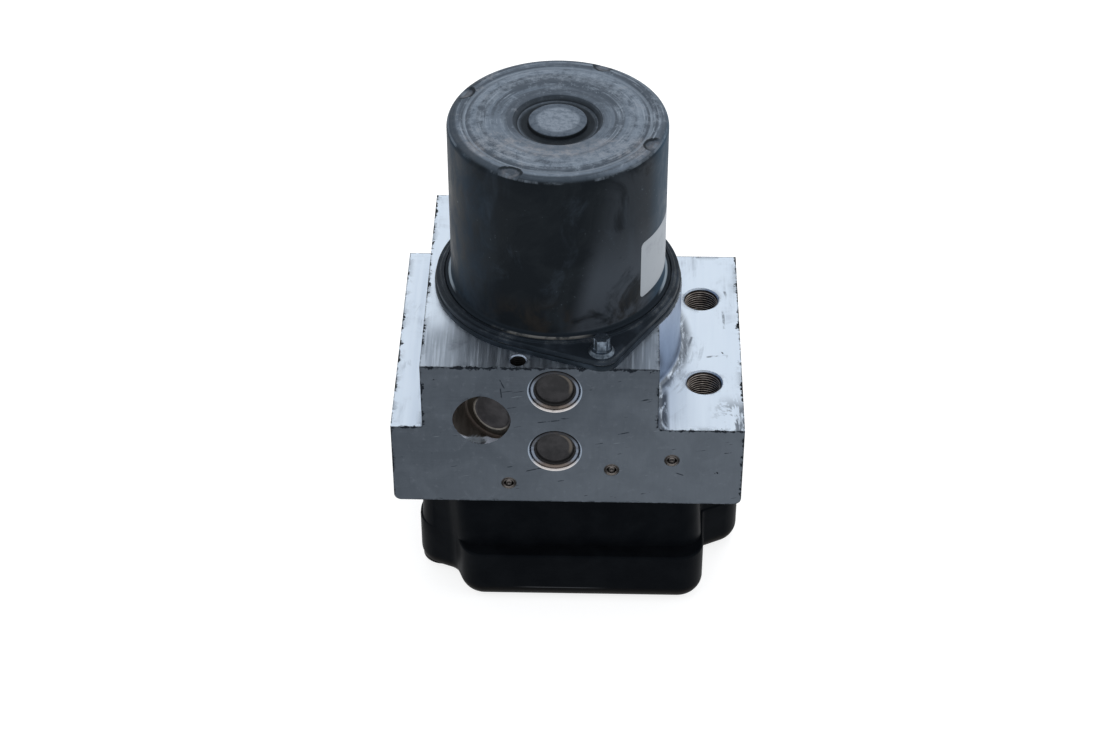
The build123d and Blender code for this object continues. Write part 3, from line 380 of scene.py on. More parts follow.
aluminium, shader, place = start_material("milled_aluminium", roughness=0.38, metallic=1.0)
across, along, upward = part_axes(place)
from_motor = from_centre(across, along)
streaks = noise_value(place, 30.0, 6.0, stretch=(26, 1, 6))
fine_streaks = noise_value(place, 60.0, 3.0, stretch=(30, 0.6, 10))
clouds = noise_value(place, 55.0, 5.0, distortion=0.8)
smears = noise_value(place, 75.0, 5.0, 0.7, stretch=(1, 0.5, 1), distortion=2.2)
grain = noise_value(place, 420.0, 4.0, 0.7)
top = facing(place, 2, 1)
front = facing(place, 1, -1)
plug_side = largest(front, facing(place, 1, 1))
flank = largest(facing(place, 0, -1), facing(place, 0, 1))
on_raised = between(upward, 84.0, 86.0)
on_step = between(upward, 84.0, 82.0)

# bright top faces: cutter streaks, stains, and a painted reflection of the dark can, darker, on the raised
# part before the motor
bright = lay_over(aluminium_bright, aluminium_stain, (clouds, 0.5, 0.7), (streaks, 0.35, 0.65), 0.55)
raised = lay_all(raised_can_reflection,
                 (aluminium_stain, (fine_streaks, 0.35, 0.68, 0.0, 0.8)),
                 (aluminium_bright, (streaks, 0.52, 0.66), 0.45),
                 (aluminium_smudge, (clouds, 0.52, 0.66), 0.35))
bright = lay_over(bright, raised, on_raised, (along, -20.0, -34.0))

# smears on the steps: near the motor pad, swept round it, and at the front corner
arc_place = swept_place(across, along, from_motor, 0.55)
arcs = noise_value(arc_place, 1.5, stretch=(1, 1.6, 1.6), distortion=0.3)
bright = lay_all(
    bright,
    (aluminium_stain, (from_motor, 51.0, 44.0), (smears, 0.47, 0.58), (clouds, 0.42, 0.6), on_step, 0.65),
    (aluminium_stain, (arcs, 0.54, 0.62), (from_motor, 60.0, 48.0), (clouds, 0.44, 0.58), on_step, 0.4),
    (aluminium_smudge, (across, 50.0, 60.0), (along, -28.0, -40.0), (smears, 0.48, 0.56), on_step, 0.85))
for start, end in step_scratches:
    scored = scratch_mask(across, along, start, end, 0.6)
    bright = lay_over(bright, aluminium_smudge, scored, (smears, 0.46, 0.6), on_step, 0.75)

# painted shade, broken up like grime, at the foot of the motor pad and of the raised part's wall
near_step = between(upward, 86.0, 83.0)
by_pad = product((from_motor, 47.4, 44.0), (from_motor, 42.2, 43.0), (smears, 0.34, 0.5),
                 (across, 0.0, 10.0), near_step)
by_wall = product((across, 38.6, 36.8), (across, 0.0, 10.0), (along, -24.0, -31.0),
                  (smears, 0.36, 0.5), near_step)
foot_shade_smear = largest(product(by_pad, 0.8), product(by_wall, 0.92))

# plug face, painted dark as shade and also duller in finish, lighter towards the lower
# right: faint brushing, and short scratches that lean with the handling
low_right = between(direction(across, upward, (0.5, -0.8)), -80.0, -30.0, 0.0, 0.75)
shaded_dull_face = maths("ADD", low_right, between(clouds, 0.35, 0.7, 0.0, 0.45), clamp=True)
brushing = noise_value(place, 40.0, stretch=(1, 1, 22))
shaded_dull_face = lay_all(aluminium_front,
               (aluminium_front_light, shaded_dull_face),
               (aluminium_front_light, (brushing, 0.45, 0.7), 0.13),
               (front_grain, (grain, 0.55, 0.72), 0.18))
leaning = new_node(place, "ShaderNodeCombineXYZ")
wire(product(across, 0.11), leaning.inputs[0])
wire(plus(product(upward, 1.05), product(across, -0.22)), leaning.inputs[2])
dashes = noise_value(leaning.outputs[0], 1.0, 2.0, 0.5)
scratch = product((dashes, 0.695, 0.72), (grain, 0.38, 0.48))
for start, end in face_scratches:
    scored = product(scratch_mask(across, upward, start, end, 0.3), (grain, 0.4, 0.5))
    scratch = largest(scratch, scored)
shaded_dull_face = lay_over(shaded_dull_face, grime, scratch, 0.85)
shaded_dull_face = lay_over(shaded_dull_face, pale_scratch, (dashes, 0.285, 0.26), 0.35)
# each face painted by its direction, as light and shade: bright tops, mid-toned flanks, dark plug faces
colour = lay_over(lay_over(aluminium_side, shaded_dull_face, plug_side), bright, top)
colour = lay_over(colour, foot_shade_grime, foot_shade_smear, minus(1.0, plug_side))

# nicked corners: a thin dark line with larger bites
line = use_group(edge_nicks, place, Reach=0.001, Scale=260.0, Cover=0.385)
bites = use_group(edge_nicks, place, Reach=0.0024, Scale=190.0, Cover=0.5)
smudged = use_group(edge_nicks, place, Reach=0.0048, Scale=85.0, Cover=0.44)
colour = lay_over(colour, aluminium_smudge, smudged["Nicks"], top, 0.5)
pits = between(noise_value(place, 330.0, 3.0, stretch=(1, 0.6, 1)), 0.735, 0.76)
marks = largest(product(line["Nicks"], 0.85), largest(bites["Nicks"], pits))

# bites rooted at the corners that were knocked most, reaching inwards as the noise allows
is_high = between(upward, step_height + 0.2, step_height + 0.9)
is_low = minus(1.0, is_high)
is_inside = product((across, raised_left - 0.6, raised_left - 0.1),
                    (across, raised_right + 0.6, raised_right + 0.1))
is_outside = minus(1.0, is_inside)
off_flank = minus(1.0, flank)
knocked = [(across, raised_left, product(is_high, off_flank), 0.2),
           (across, raised_right, product(is_high, front), 0.1),
           (across, block_left, product(is_low, off_flank), 0.1),
           (across, block_right, product(is_low, off_flank), 0.2),
           (along, -block_face, top, -0.1),
           (upward, motor_seat, product(front, is_inside), 0.7),
           (upward, step_height, product(front, is_outside), 0.5)]
nearest = None
for value, corner, allowed, worse in knocked:
    away = minus(apart(value, corner), worse)
    away = plus(away, product(minus(1.0, allowed), 60.0))
    nearest = away if nearest is None else maths("MINIMUM", nearest, away)
bite_noise = noise_value(place, 430.0, 5.0, 0.7)
bite_drift = noise_value(place, 95.0, 3.0)
rooted = plus(bite_noise, product(bite_drift, 0.55))
rooted = minus(rooted, product(nearest, 0.17))
marks = largest(marks, between(rooted, 0.765, 0.8))

# the turned edges of the plug bores are kept free of nicks
clear = between(from_centre(across, upward, expander_places[0]), 3.4, 3.7)
for centre in expander_places[1:]:
    clear = product(clear, (from_centre(across, upward, centre), 3.4, 3.7))
bore_shade_mask = 0.0
for height in plug_heights:
    distance = from_centre(across, upward, (0.0, height))
    clear = product(clear, (distance, 9.4, 9.8))
    ring = product((distance, 8.55, 8.7), (distance, 9.1, 8.98))
    below = between(upward, height - 3.0, height - 7.5)
    bore_shade_mask = largest(between(distance, 8.45, 8.25), bore_shade_mask)
    beside = between(upward, height + 6.5, height + 1.5)
    on_face = between(along, -47.6, -47.9)
    # each bore mouth painted as lit: mid-toned beside the plug, a painted highlight below it where the
    # chamfer faces up
    colour = lay_over(colour, mouth_side, ring, beside, on_face)
    colour = lay_over(colour, mouth_highlight, ring, below, on_face)

# the slanted damper bore, in its own axis
way, far = reach_from(place, damper_place)
along_bore = vector_maths(way, "DOT_PRODUCT")
along_bore.inputs[1].default_value = damper_out
deep = along_bore.outputs["Value"]
radial = minus(product(far, far), product(deep, deep))
radial = maths("DIVIDE", maths("SQRT", radial), MM)
clear = product(clear, (radial, damper_mouth + 0.3, damper_mouth + 0.6))
colour = lay_over(colour, grime, marks, largest(clear, top))
# painted shade inside the plug bores, round the plugs
colour = lay_over(colour, bore_shade, bore_shade_mask, (along, -30.0, -34.0))
behind_face = product((along, -48.12, -48.04), (along, -18.0, -22.0))
in_pocket = product((radial, damper_mouth + 0.2, damper_mouth + 0.1), behind_face)
on_wall = between(radial, damper_mouth - 0.7, damper_mouth - 0.5)
# stained pocket walls over a seat painted dark as shadow
pocket = lay_over(pocket_seat_shadow, pocket_wall, on_wall)
pocket = lay_over(pocket, pocket_haze, on_wall, (clouds, 0.45, 0.6), 0.5)
# a painted highlight on the land at the foot of the mouth, made non-metallic there so that its pale colour
# shows
land_depth = plus(along, product(maths("ABSOLUTE", plus(across, 22.8)), 0.4))
land_highlight = product(facing(place, 2, 1, 0.3, 0.42), (land_depth, -44.2, -44.8), in_pocket)
pocket = lay_over(pocket, pocket_land_highlight, land_highlight)
colour = lay_over(colour, pocket, in_pocket)
wire(minus(1.0, land_highlight), shader.inputs["Metallic"])
paint(shader, colour)
wire(between(streaks, 0.3, 0.7, 0.32, 0.46), shader.inputs["Roughness"])
relief = plus(product(streaks, 0.6), product(marks, -2.0))
relief = plus(relief, product(fine_streaks, 0.5))
give_bump(shader, relief, 0.03, 0.6)

block = merged_copy("hydraulic_block", "milled_block", bevel=0.28)
block.data.materials.append(aluminium)

# the damper bore's mouth is dressed to a narrower opening with slightly flat flanks
mouth_centre = Vector((-24.35, 83.5))
mouth_half_width = 9.75
mouth_half_height = 10.4
mouth_power = 1.8
for vertex in block.data.vertices:
    spot = vertex.co / MM
    reach = spot - damper_place
    if abs(spot.y + block_face) > 0.02 or abs(reach.cross(damper_out).length - damper_mouth) > 0.08:
        continue
    turn = math.atan2(reach.z / damper_mouth, reach.x * -damper_out.y / damper_mouth)
    swell = abs(math.cos(turn)) ** mouth_power + abs(math.sin(turn)) ** mouth_power
    swell = swell ** (-1.0 / mouth_power)
    vertex.co.x = (mouth_centre.x + mouth_half_width * math.cos(turn) * swell) * MM
    vertex.co.z = (mouth_centre.y + mouth_half_height * math.sin(turn) * swell) * MM


# --- Port threads ---------------------------------------------------------------------
# Tapped threads of the line ports and bracket holes, cut in the block itself. Brake fluid
# and dust have browned them; their grooves are painted dark as shade and their crests pale as highlights.

def lathe(name, profile, steps=128, places=(((0, 0, 0), (0, 0, 1)),), close=False):
    """Spins a profile of (radius, height), in mm, round each of the places' directions."""
    shape = bmesh.new()
    for point, direction in places:
        points = [shape.verts.new((radius * MM, 0, height * MM)) for radius, height in profile]
        edges = [shape.edges.new(pair) for pair in zip(points, points[1:])]
        if close:
            edges.append(shape.edges.new((points[-1], points[0])))
        bmesh.ops.spin(shape, geom=points + edges, cent=(0, 0, 0), axis=(0, 0, 1),
                       angle=math.tau, steps=steps, use_merge=True)
        fresh = [vertex for vertex in shape.verts if not vertex.tag]
        turn = Vector((0, 0, 1)).rotation_difference(Vector(direction)).to_matrix().to_4x4()
        bmesh.ops.transform(shape, matrix=Matrix.Translation(Vector(point) * MM) @ turn, verts=fresh)
        for vertex in fresh:
            vertex.tag = True
    bmesh.ops.remove_doubles(shape, verts=shape.verts, dist=0.001 * MM)
    bmesh.ops.recalc_face_normals(shape, faces=shape.faces)
    return as_piece(shape, name)


def thread_profile(radius, crest, pitch, depth, start):
    """A saw-toothed wall from the mouth down to a depth, closed behind."""
    points = [(radius - 0.03, -start)]
    height = -start
    while height - pitch > -depth:
        points += [(radius - 0.04, height - 0.12 * pitch), (crest, height - 0.5 * pitch),
                   (crest, height - 0.62 * pitch), (radius - 0.04, height - pitch)]
        height -= pitch
    return points + [(radius - 0.02, height - 0.05), (radius - 0.02, -start)]


def browned_shaded_thread(name, crest, bore_middle, plane, fold=None):
    """Thread painted dark in its grooves as shade and pale on its crests as highlights; with a fold, one
    bore of the plane stands for all.
    """
    material, shader, place = start_material(name, roughness=0.42, metallic=0.85)
    axes = part_axes(place)
    first, second = axes[plane[0]], axes[plane[1]]
    if fold is not None:
        first = apart(first, fold[0])
        second = apart(second, fold[1])
    dirt = noise_value(place, 500.0)
    on_crest = between(from_centre(first, second, bore_middle), crest + 0.15, crest + 0.07)
    dark = lay_over((0.012, 0.01, 0.0095), (0.03, 0.025, 0.022), (dirt, 0.4, 0.7))
    pale = lay_over((0.3, 0.26, 0.235), (0.58, 0.53, 0.49), (dirt, 0.4, 0.7))
    paint(shader, lay_over(dark, pale, on_crest))
    return material


main_thread = browned_shaded_thread("browned_shaded_main_thread", 5.45, (50.1, 23.0), (0, 1), fold=(0.0, 0.0))
rear_thread = browned_shaded_thread("browned_shaded_rear_thread", 4.55, (27.0, 8.5), (0, 2), fold=(-3.0, 83.5))
side_thread = browned_shaded_thread("browned_shaded_side_thread", 2.65, (-6.0, 63.5), (1, 2))
# the small top hole's thread is painted almost black, as shade in the hole
hole_shade, shader, place = start_material("dark_bore", roughness=0.6, specular=0.1)
dirt = noise_value(place, 500.0)
paint(shader, lay_over((0.002, 0.002, 0.002), (0.006, 0.006, 0.006), (dirt, 0.4, 0.7)))

port_places = [((50.1, side * 23.0, step_height), (0, 0, 1)) for side in (-1, 1)]
threads = lathe("main_port_threads", thread_profile(6.0, 5.45, 1.0, 12.6, 0.7), 96, port_places)
rear_places = [((x, block_face, z), (0, 1, 0)) for x in (-30.0, 24.0) for z in (75.0, 92.0)]
rear_threads = lathe("wheel_port_threads", thread_profile(5.0, 4.55, 1.0, 12.6, 0.7), 80, rear_places)
small_places = [((-12.1, -44.1, motor_seat), (0, 0, 1))]
small_thread = lathe("top_hole_thread", thread_profile(2.6, 2.3, 0.8, 9.2, 0.6), 48, small_places)
side_places = [((block_left, -6.0, 63.5), (-1, 0, 0)), ((block_right, -6.0, 63.5), (1, 0, 0))]
side_threads = lathe("side_hole_threads", thread_profile(3.0, 2.65, 0.8, 11.8, 0.1), 48, side_places)
for piece, finish in ((threads, main_thread), (rear_threads, rear_thread),
                      (small_thread, hole_shade), (side_threads, side_thread)):
    smooth_faces(piece, 25.0)
    piece.data.materials.append(finish)
    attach(piece, "unit")


# --- Bore plugs -----------------------------------------------------------------------
# Dished steel plugs pressed into the pump and accumulator bores. The bore's edge is rolled
# in over them, which leaves a bright ring, and the mouth outside it is chamfered.

def both_faces(places):
    """The places (x, z), in mm, on the two plug faces, with the ways out of them."""
    return [((x, side * block_face, z), (0, side, 0)) for side in (-1, 1) for x, z in places]


def nearest_plug(height):
    """The height of the plug bore that is nearest."""
    upper, lower = plug_heights
    is_upper = maths("GREATER_THAN", height, (upper + lower) / 2)
    return plus(product(is_upper, upper - lower), lower)


def bore_edge(name, above, beside, below):
    """Bright metal round the plug bores, darker above and as the light falls below."""
    material, shader, place = start_material(name, roughness=0.34, metallic=1.0)
    height = part_axes(place)[2]
    drop = minus(nearest_plug(height), height)
    shade = lay_over(above, beside, (drop, -6.5, -1.0))
    shade = lay_over(shade, below, (drop, 3.0, 7.0))
    dirt = noise_value(place, 320.0, 4.0, 0.65)
    dirty = product((dirt, 0.5, 0.66), 0.6)
    paint(shader, lay_over(shade, (0.05, 0.045, 0.042), dirty))
    return material


rolled = bore_edge("rolled_edge", (0.035, 0.038, 0.045), (0.17, 0.2, 0.25), (0.15, 0.125, 0.11))
chamfered = bore_edge("chamfered_edge", (0.06, 0.07, 0.085), (0.26, 0.31, 0.38), (0.56, 0.535, 0.53))

plug_steel, shader, place = start_material("stained_plug", roughness=0.5, metallic=0.7)
across, _, upward = part_axes(place)
rise = minus(upward, nearest_plug(upward))
dirt = noise_value(place, 230.0)
from_middle = from_centre(across, rise)
plug_dark = (0.019, 0.019, 0.021)
plug_light = (0.036, 0.035, 0.038)
plug_highlight_crescent = (0.12, 0.105, 0.09)
plug_gap_shade = (0.01, 0.01, 0.011)
# dark dished face with dirt, a painted highlight crescent towards its right, and painted shade in the gap
# at its edge
paint(shader, lay_all(
    plug_dark,
    (plug_light, (dirt, 0.35, 0.7)),
    (plug_highlight_crescent, (from_middle, 4.5, 5.2), (from_middle, 6.1, 5.6),
     (direction(across, rise, (0.9, 0.4)), 2.5, 4.5), 0.8),
    (plug_gap_shade, (from_middle, 6.05, 6.35))))
give_bump(shader, noise_value(place, 900.0, 3.0, 0.55), 0.02, 0.4)

for bore, height, length in zip(("pump", "accumulator"), plug_heights, (10.85, 4.5)):
    for end, side in (("front", -1), ("rear", 1)):
        back = -0.9 - length
        hollow = back + length / 3
        profile = [(0.0, -2.77), (3.8, -2.77), (4.4, -2.68), (4.9, -2.38), (5.6, -2.3), (6.0, -2.2),
                   (6.22, -1.9), (6.38, -1.2), (6.55, -0.98), (6.75, -0.9), (7.0, -0.92), (7.2, -1.05),
                   (7.25, -1.3), (7.25, back), (2.5, back), (2.5, hollow), (0.0, hollow)]
        plug = lathe(bore + "_bore_plug_" + end, profile, 96,
                     [((0, side * block_face, height), (0, side, 0))])
        smooth_faces(plug, 50.0)
        plug.data.materials.append(plug_steel)
        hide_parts(bore + "_plug_" + end)
        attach(plug, "unit")

plug_faces = both_faces([(0.0, height) for height in plug_heights])
roll_profile = [(6.9, -0.88), (7.0, -0.55), (7.2, -0.32), (7.55, -0.26), (7.95, -0.42), (8.18, -0.75),
                (6.95, -0.9)]
rolled_rings = lathe("rolled_rings", roll_profile, 96, plug_faces, close=True)
mouth_profile = [(8.79, -0.01), (8.62, -0.12), (8.3, -0.75), (8.25, -1.45), (8.78, -1.47), (8.79, -0.01)]
mouth_rings = lathe("chamfered_mouths", mouth_profile, 96, plug_faces)
for piece, finish in ((rolled_rings, rolled), (mouth_rings, chamfered)):
    smooth_faces(piece, 45.0)
    piece.data.materials.append(finish)
    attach(piece, "unit")


# --- Damper cap -----------------------------------------------------------------------
# A dished steel cap over the pump's damper, pressed into a bore that is drilled at a slant
# through the plug face. Its rim carries a painted highlight on its lower left.

damper_profile = [(0.0, -4.62), (5.6, -4.62), (6.1, -4.5), (6.35, -4.28), (6.6, -4.2), (7.0, -4.2),
                  (7.22, -4.28), (7.3, -4.45), (7.3, -4.8), (6.6, -4.82), (6.6, -22.5), (5.0, -22.5),
                  (5.0, -10.0), (0.0, -10.0)]
damper = lathe("damper_cap", damper_profile, 96, [(damper_place, damper_out)])
smooth_faces(damper, 50.0)
cap_steel, shader, place = start_material("cap_rim_highlight", roughness=0.45, metallic=0.75)
cap_depth = 4.2
cap_middle = damper_place - damper_out * cap_depth
far = reach_from(place, cap_middle)[1]
dirt = noise_value(place, 260.0)
across, _, upward = part_axes(place)
shade = lay_over((0.02, 0.019, 0.021), (0.038, 0.036, 0.039), (dirt, 0.35, 0.7))
towards = direction(minus(across, cap_middle.x), minus(upward, cap_middle.z), (-0.64, -0.77))
# a painted highlight on the rim's lower left side
rim_highlight = product((far, 0.0063, 0.0065), (dirt, 0.32, 0.52, 0.45, 1.0), (towards, -1.5, 3.0))
paint(shader, lay_over(shade, (0.2, 0.185, 0.165), rim_highlight))
damper.data.materials.append(cap_steel)
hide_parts("damper_plug")
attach(damper, "unit")


# --- Expander plugs -------------------------------------------------------------------
# Small sleeves with a ball driven in, which seal the drilled passages on both plug faces.

sleeve_profile = [(1.55, -0.5), (1.6, 0.05), (1.75, 0.22), (1.95, 0.12), (2.05, -0.12), (2.2, -0.1),
                  (2.35, 0.1), (2.5, 0.05), (2.6, -0.15), (2.6, -6.65), (1.55, -6.65)]
sleeves = lathe("driven_sleeves", sleeve_profile, 40, both_faces(expander_places), close=True)
ball_profile = [(0.0, -0.35), (0.35, -0.38), (0.5, -0.1), (0.85, -0.02), (1.15, -0.25), (1.45, -0.95),
                (1.5, -1.5), (1.3, -2.2), (0.9, -2.7), (0.0, -3.0)]
balls = lathe("driven_balls", ball_profile, 40, both_faces(expander_places))
tarnished_toplit, shader, place = start_material("tarnished_toplit_steel", roughness=0.4, metallic=0.9)
sleeve_dark = (0.03, 0.028, 0.028)
sleeve_lit = (0.26, 0.24, 0.23)
sleeve_dirt = (0.03, 0.025, 0.022)
dirt = noise_value(place, 600.0, 3.0)
# painted lighter where the sleeves and balls face up, as lit from above, with dirt
paint(shader, lay_all(sleeve_dark, (sleeve_lit, facing(place, 2, 1, 0.0, 0.8)),
                      (sleeve_dirt, (dirt, 0.55, 0.7))))
for piece, node, slot in ((sleeves, "expander_sleeves", "sleeve_steel"),
                          (balls, "expander_balls", "hard_steel")):
    smooth_faces(piece, 40.0)
    piece.data.materials.append(tarnished_toplit)
    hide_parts(node)
    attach(piece, "unit")


# --- Motor can ------------------------------------------------------------------------
# A deep-drawn steel cup with a rolled top edge, pressed rings and a bearing hub in a
# moat. Its charcoal coat has gone patchy, and four punches stake it over the magnets.

def arc_points(centre, radius, start, end, count):
    """Points on an arc of a profile; angles in degrees from the outward direction."""
    turns = [math.radians(start + (end - start) * i / count) for i in range(count + 1)]
    return [(centre[0] + radius * math.cos(turn), centre[1] + radius * math.sin(turn)) for turn in turns]


can_low, can_high = (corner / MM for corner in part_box("motor_can"))
stake_heap = 0.32
can_top = can_high.z - 0.75 * stake_heap
can_base = can_low.z
can_radius = 36.2
can_edge = 2.6
foot_radius = can_high.x
foot_height = 1.2
hub_radius = 9.75
moat_radius = 14.3
moat_depth = 2.4

hub_top = can_top - 0.7
moat_floor = can_top - moat_depth
foot_top = can_base + foot_height
profile = [(0.0, hub_top - 0.12), (6.6, hub_top - 0.12), (7.4, hub_top)]
profile += arc_points((hub_radius - 0.8, hub_top - 0.8), 0.8, 90, 0, 5)
profile += [(hub_radius, moat_floor + 0.6)]
profile += arc_points((hub_radius + 0.6, moat_floor + 0.6), 0.6, 180, 270, 4)
profile += arc_points((moat_radius - 1.8, moat_floor + 1.0), 1.0, 270, 340, 4)
profile += arc_points((moat_radius + 0.9, can_top - 1.5), 0.9, 150, 90, 4)
profile += [(radius, can_top - drop) for radius, drop in (
    (18.6, 0.6), (19.8, 0.55), (20.6, 0.25), (21.6, 0.02), (23.0, 0), (28.6, 0), (29.2, 0.12), (29.8, 0.5),
    (30.6, 0.55), (31.0, 0.35), (31.5, 0.1), (32.0, 0), (32.4, 0), (32.8, 0), (33.2, 0))]
profile += arc_points((can_radius - can_edge, can_top - can_edge), can_edge, 90, 0, 14)
profile += [(can_radius, can_top - 5 - 4.2 * i) for i in range(13)]
profile += [(can_radius, foot_top + 0.8)]
profile += [(can_radius + 0.25, foot_top + 0.25), (can_radius + 0.8, foot_top)]
profile += [(foot_radius - 0.3, foot_top), (foot_radius, foot_top - 0.3)]
profile += [(foot_radius, can_base + 0.02), (can_radius - 2.0, can_base + 0.02)]
profile += [(can_radius - 2.0, can_top - 4.5), (0.0, can_top - 4.5)]
can = lathe("motor_can_shell", profile, steps=360)

# four punched stakes: a round dent over the edge with a heap of metal on its inner side
stake_angle = 65.0
stake_squeeze = 0.78
heap_radius = 3.3
heap_width = 0.55
stake_radius = 34.2
stake_ball = 5.0
stake_depth = 0.9
for vertex in can.data.vertices:
    radius = math.hypot(vertex.co.x, vertex.co.y) / MM
    height = vertex.co.z / MM
    if radius < 29.0 or height < can_top - 3.2:
        continue
    angle = math.degrees(math.atan2(vertex.co.y, vertex.co.x))
    turn = (angle - stake_angle + 45.0) % 90.0 - 45.0
    sideways = radius * math.sin(math.radians(turn)) * stake_squeeze
    outward = radius * math.cos(math.radians(turn)) - stake_radius
    distance = math.hypot(sideways, outward)
    inner_side = max(0.0, -outward / max(distance, 0.1))
    heap = stake_heap * inner_side * math.exp(-(((distance - heap_radius) / heap_width) ** 2))
    if distance < stake_ball:
        dent = can_top + stake_ball - stake_depth - math.sqrt(stake_ball ** 2 - distance ** 2)
        vertex.co.z = min(height, dent) * MM
    if distance > 2.9:
        vertex.co.z += heap * MM
smooth_faces(can, 60.0)

can_dark = (0.008, 0.0098, 0.012)
can_green = (0.0125, 0.015, 0.0175)
can_blue = (0.024, 0.031, 0.04)
can_brown = (0.02, 0.017, 0.014)
can_top_colour = (0.108, 0.132, 0.164)
can_top_light = (0.18, 0.212, 0.252)
can_top_dark = (0.056, 0.068, 0.085)
right_side_light = (0.05, 0.058, 0.07)
left_edge_sheen = (0.014, 0.028, 0.046)
right_edge_sheen = (0.03, 0.056, 0.086)
side_scuff = (0.1, 0.12, 0.14)
top_speck = (0.3, 0.33, 0.36)
top_smear = (0.21, 0.195, 0.195)
top_haze = (0.19, 0.185, 0.19)
hub_dark = (0.05, 0.064, 0.083)
hub_light = (0.085, 0.103, 0.128)
hub_worn = (0.18, 0.21, 0.25)
stake_shine = (0.15, 0.145, 0.155)
foot_dark = (0.012, 0.016, 0.021)
foot_reflection_line = (0.125, 0.125, 0.12)
pale_foot_sides = (0.22, 0.26, 0.3)
cool_gloss = (0.55, 0.78, 1.0)

charcoal, shader, place = start_material("charcoal_coat", 0.46, specular=0.035, gloss=cool_gloss)
across, along, upward = part_axes(place)
patches = noise_value(place, 38.0, 6.0, 0.62, distortion=1.0)
blotches = noise_value(place, 90.0, 6.0, 0.66, stretch=(1, 1, 0.7), distortion=0.5)
fine = noise_value(place, 700.0, 4.0, 0.7)
drips = noise_value(place, 60.0, stretch=(1, 1, 0.25))
# the side: a patchy coat, painted lighter on the right and towards the top as lit from that side, with
# painted sheen at its left and right edges
side = lay_all(
    can_dark,
    (can_green, (patches, 0.42, 0.62)),
    (can_blue, (blotches, 0.52, 0.7), 0.6),
    (can_blue, (drips, 0.56, 0.7), 0.6),
    (can_brown, (upward, 128.0, 116.0), (blotches, 0.42, 0.6), 0.7),
    (right_side_light, (direction(across, upward, (1.0, -0.22)), -23.0, -15.0),
     (upward, 152.0, 128.0, 0.35, 1.0), (patches, 0.38, 0.5, 0.12, 1.0), 0.9),
    (left_edge_sheen, (across, -16.0, -34.0), (blotches, 0.3, 0.62), 0.7),
    (right_edge_sheen, (across, 29.0, 35.0), 0.8),
    (side_scuff, (fine, 0.64, 0.7), (patches, 0.5, 0.6), 0.5))
from_axis = from_centre(across, along)
ring_place = swept_place(across, along, from_axis, 0.9)
rings = noise_value(ring_place, 1.6, 5.0, 0.65, stretch=(1, 0.8, 0.8))
wide_rings = noise_value(ring_place, 0.34, 2.0, 0.5, stretch=(1, 1.4, 1.4))
mottle = noise_value(place, 330.0, 8.0, 0.78)
specks = noise_value(place, 800.0, 4.0, 0.7)
hub_grain = noise_value(place, 520.0, 5.0, 0.7)
hub_colour = lay_over(hub_dark, hub_light, (hub_grain, 0.34, 0.62))
# the top, painted much lighter than the side as lit from above, with scuffed rings and mottle
lid = lay_all(
    can_top_dark,
    (can_top_colour, (wide_rings, 0.4, 0.6)),
    (can_top_light, (rings, 0.48, 0.66), (blotches, 0.38, 0.58)),
    (can_top_light, (mottle, 0.52, 0.66), 0.7),
    (can_top_dark, (mottle, 0.48, 0.34), 0.75),
    (top_speck, (specks, 0.68, 0.72), 0.6),
    (can_green, (specks, 0.3, 0.26), 0.7),
    (top_smear, (along, -9.0, -13.0), (along, -26.0, -20.0), (mottle, 0.42, 0.58), 0.3),
    (can_top_light, (from_axis, 29.9, 30.3), (from_axis, 31.2, 30.8), 0.5),
    (can_top_dark, (from_axis, 13.0, 13.6), (from_axis, 18.6, 17.4), 0.4),
    (can_top_light, (from_axis, 22.5, 23.5), (from_axis, 29.4, 28.6), (mottle, 0.4, 0.56), 0.45),
    (top_haze, (mottle, 0.5, 0.62), (patches, 0.5, 0.62), 0.35),
    (hub_colour, (from_axis, 9.9, 9.5)),
    (hub_worn, (from_axis, 7.6, 6.2), (hub_grain, 0.36, 0.6, 0.45, 1.0), 0.85),
    # painted shade in the moat round the hub
    (can_dark, (from_axis, 9.45, 9.75), (from_axis, 13.8, 11.6), 0.92),
    # painted shadow on the top's outer band at the front left
    (can_blue, (from_axis, 32.4, 33.8), (direction(across, along, (0.8, 0.6)), 2.0, -14.0), 0.8))

# the stakes' own axes: the angle from the nearest of the four, then across and beyond it
swing = product(maths("ARCTAN2", along, across), 180.0 / math.pi)
swing = plus(swing, 360.0 - stake_angle + 45.0)
swing = minus(maths("FLOORED_MODULO", swing, 90.0), 45.0)
swing = product(swing, math.pi / 180.0)
beside = product(from_axis, maths("SINE", swing), stake_squeeze)
beyond = minus(product(from_axis, maths("COSINE", swing)), stake_radius)
from_stake = plus(from_centre(beside, beyond), between(blotches, 0.3, 0.7, -0.45, 0.45))
up = facing(place, 2, 1, 0.55, 0.93)
near_top = between(upward, can_top - 2.8, can_top - 2.2)
above_edge = between(upward, can_top - 1.5, can_top - 1.0)
# the top goes over the side where it faces up. In each stake the dent is painted darker as shade, with a
# shine in its middle and a painted shadow arc on its inner side
colour = lay_all(
    side,
    (lid, up, near_top, (from_stake, 2.4, 3.2, 0.35, 1.0)),
    (can_top_dark, (from_stake, 3.0, 2.6), 0.65, above_edge),
    (stake_shine, (from_stake, 2.4, 1.4), (mottle, 0.4, 0.6), above_edge, 0.4),
    (can_dark, (from_stake, 2.0, 2.5), (from_stake, 3.25, 2.95), (beyond, 0.9, -0.9), near_top, 0.85),
    (can_top_light, (upward, can_top - 1.5, can_top - 1.2), (upward, can_top - 0.6, can_top - 0.9),
     (blotches, 0.42, 0.56), (from_axis, 33.8, 34.2), 0.4))

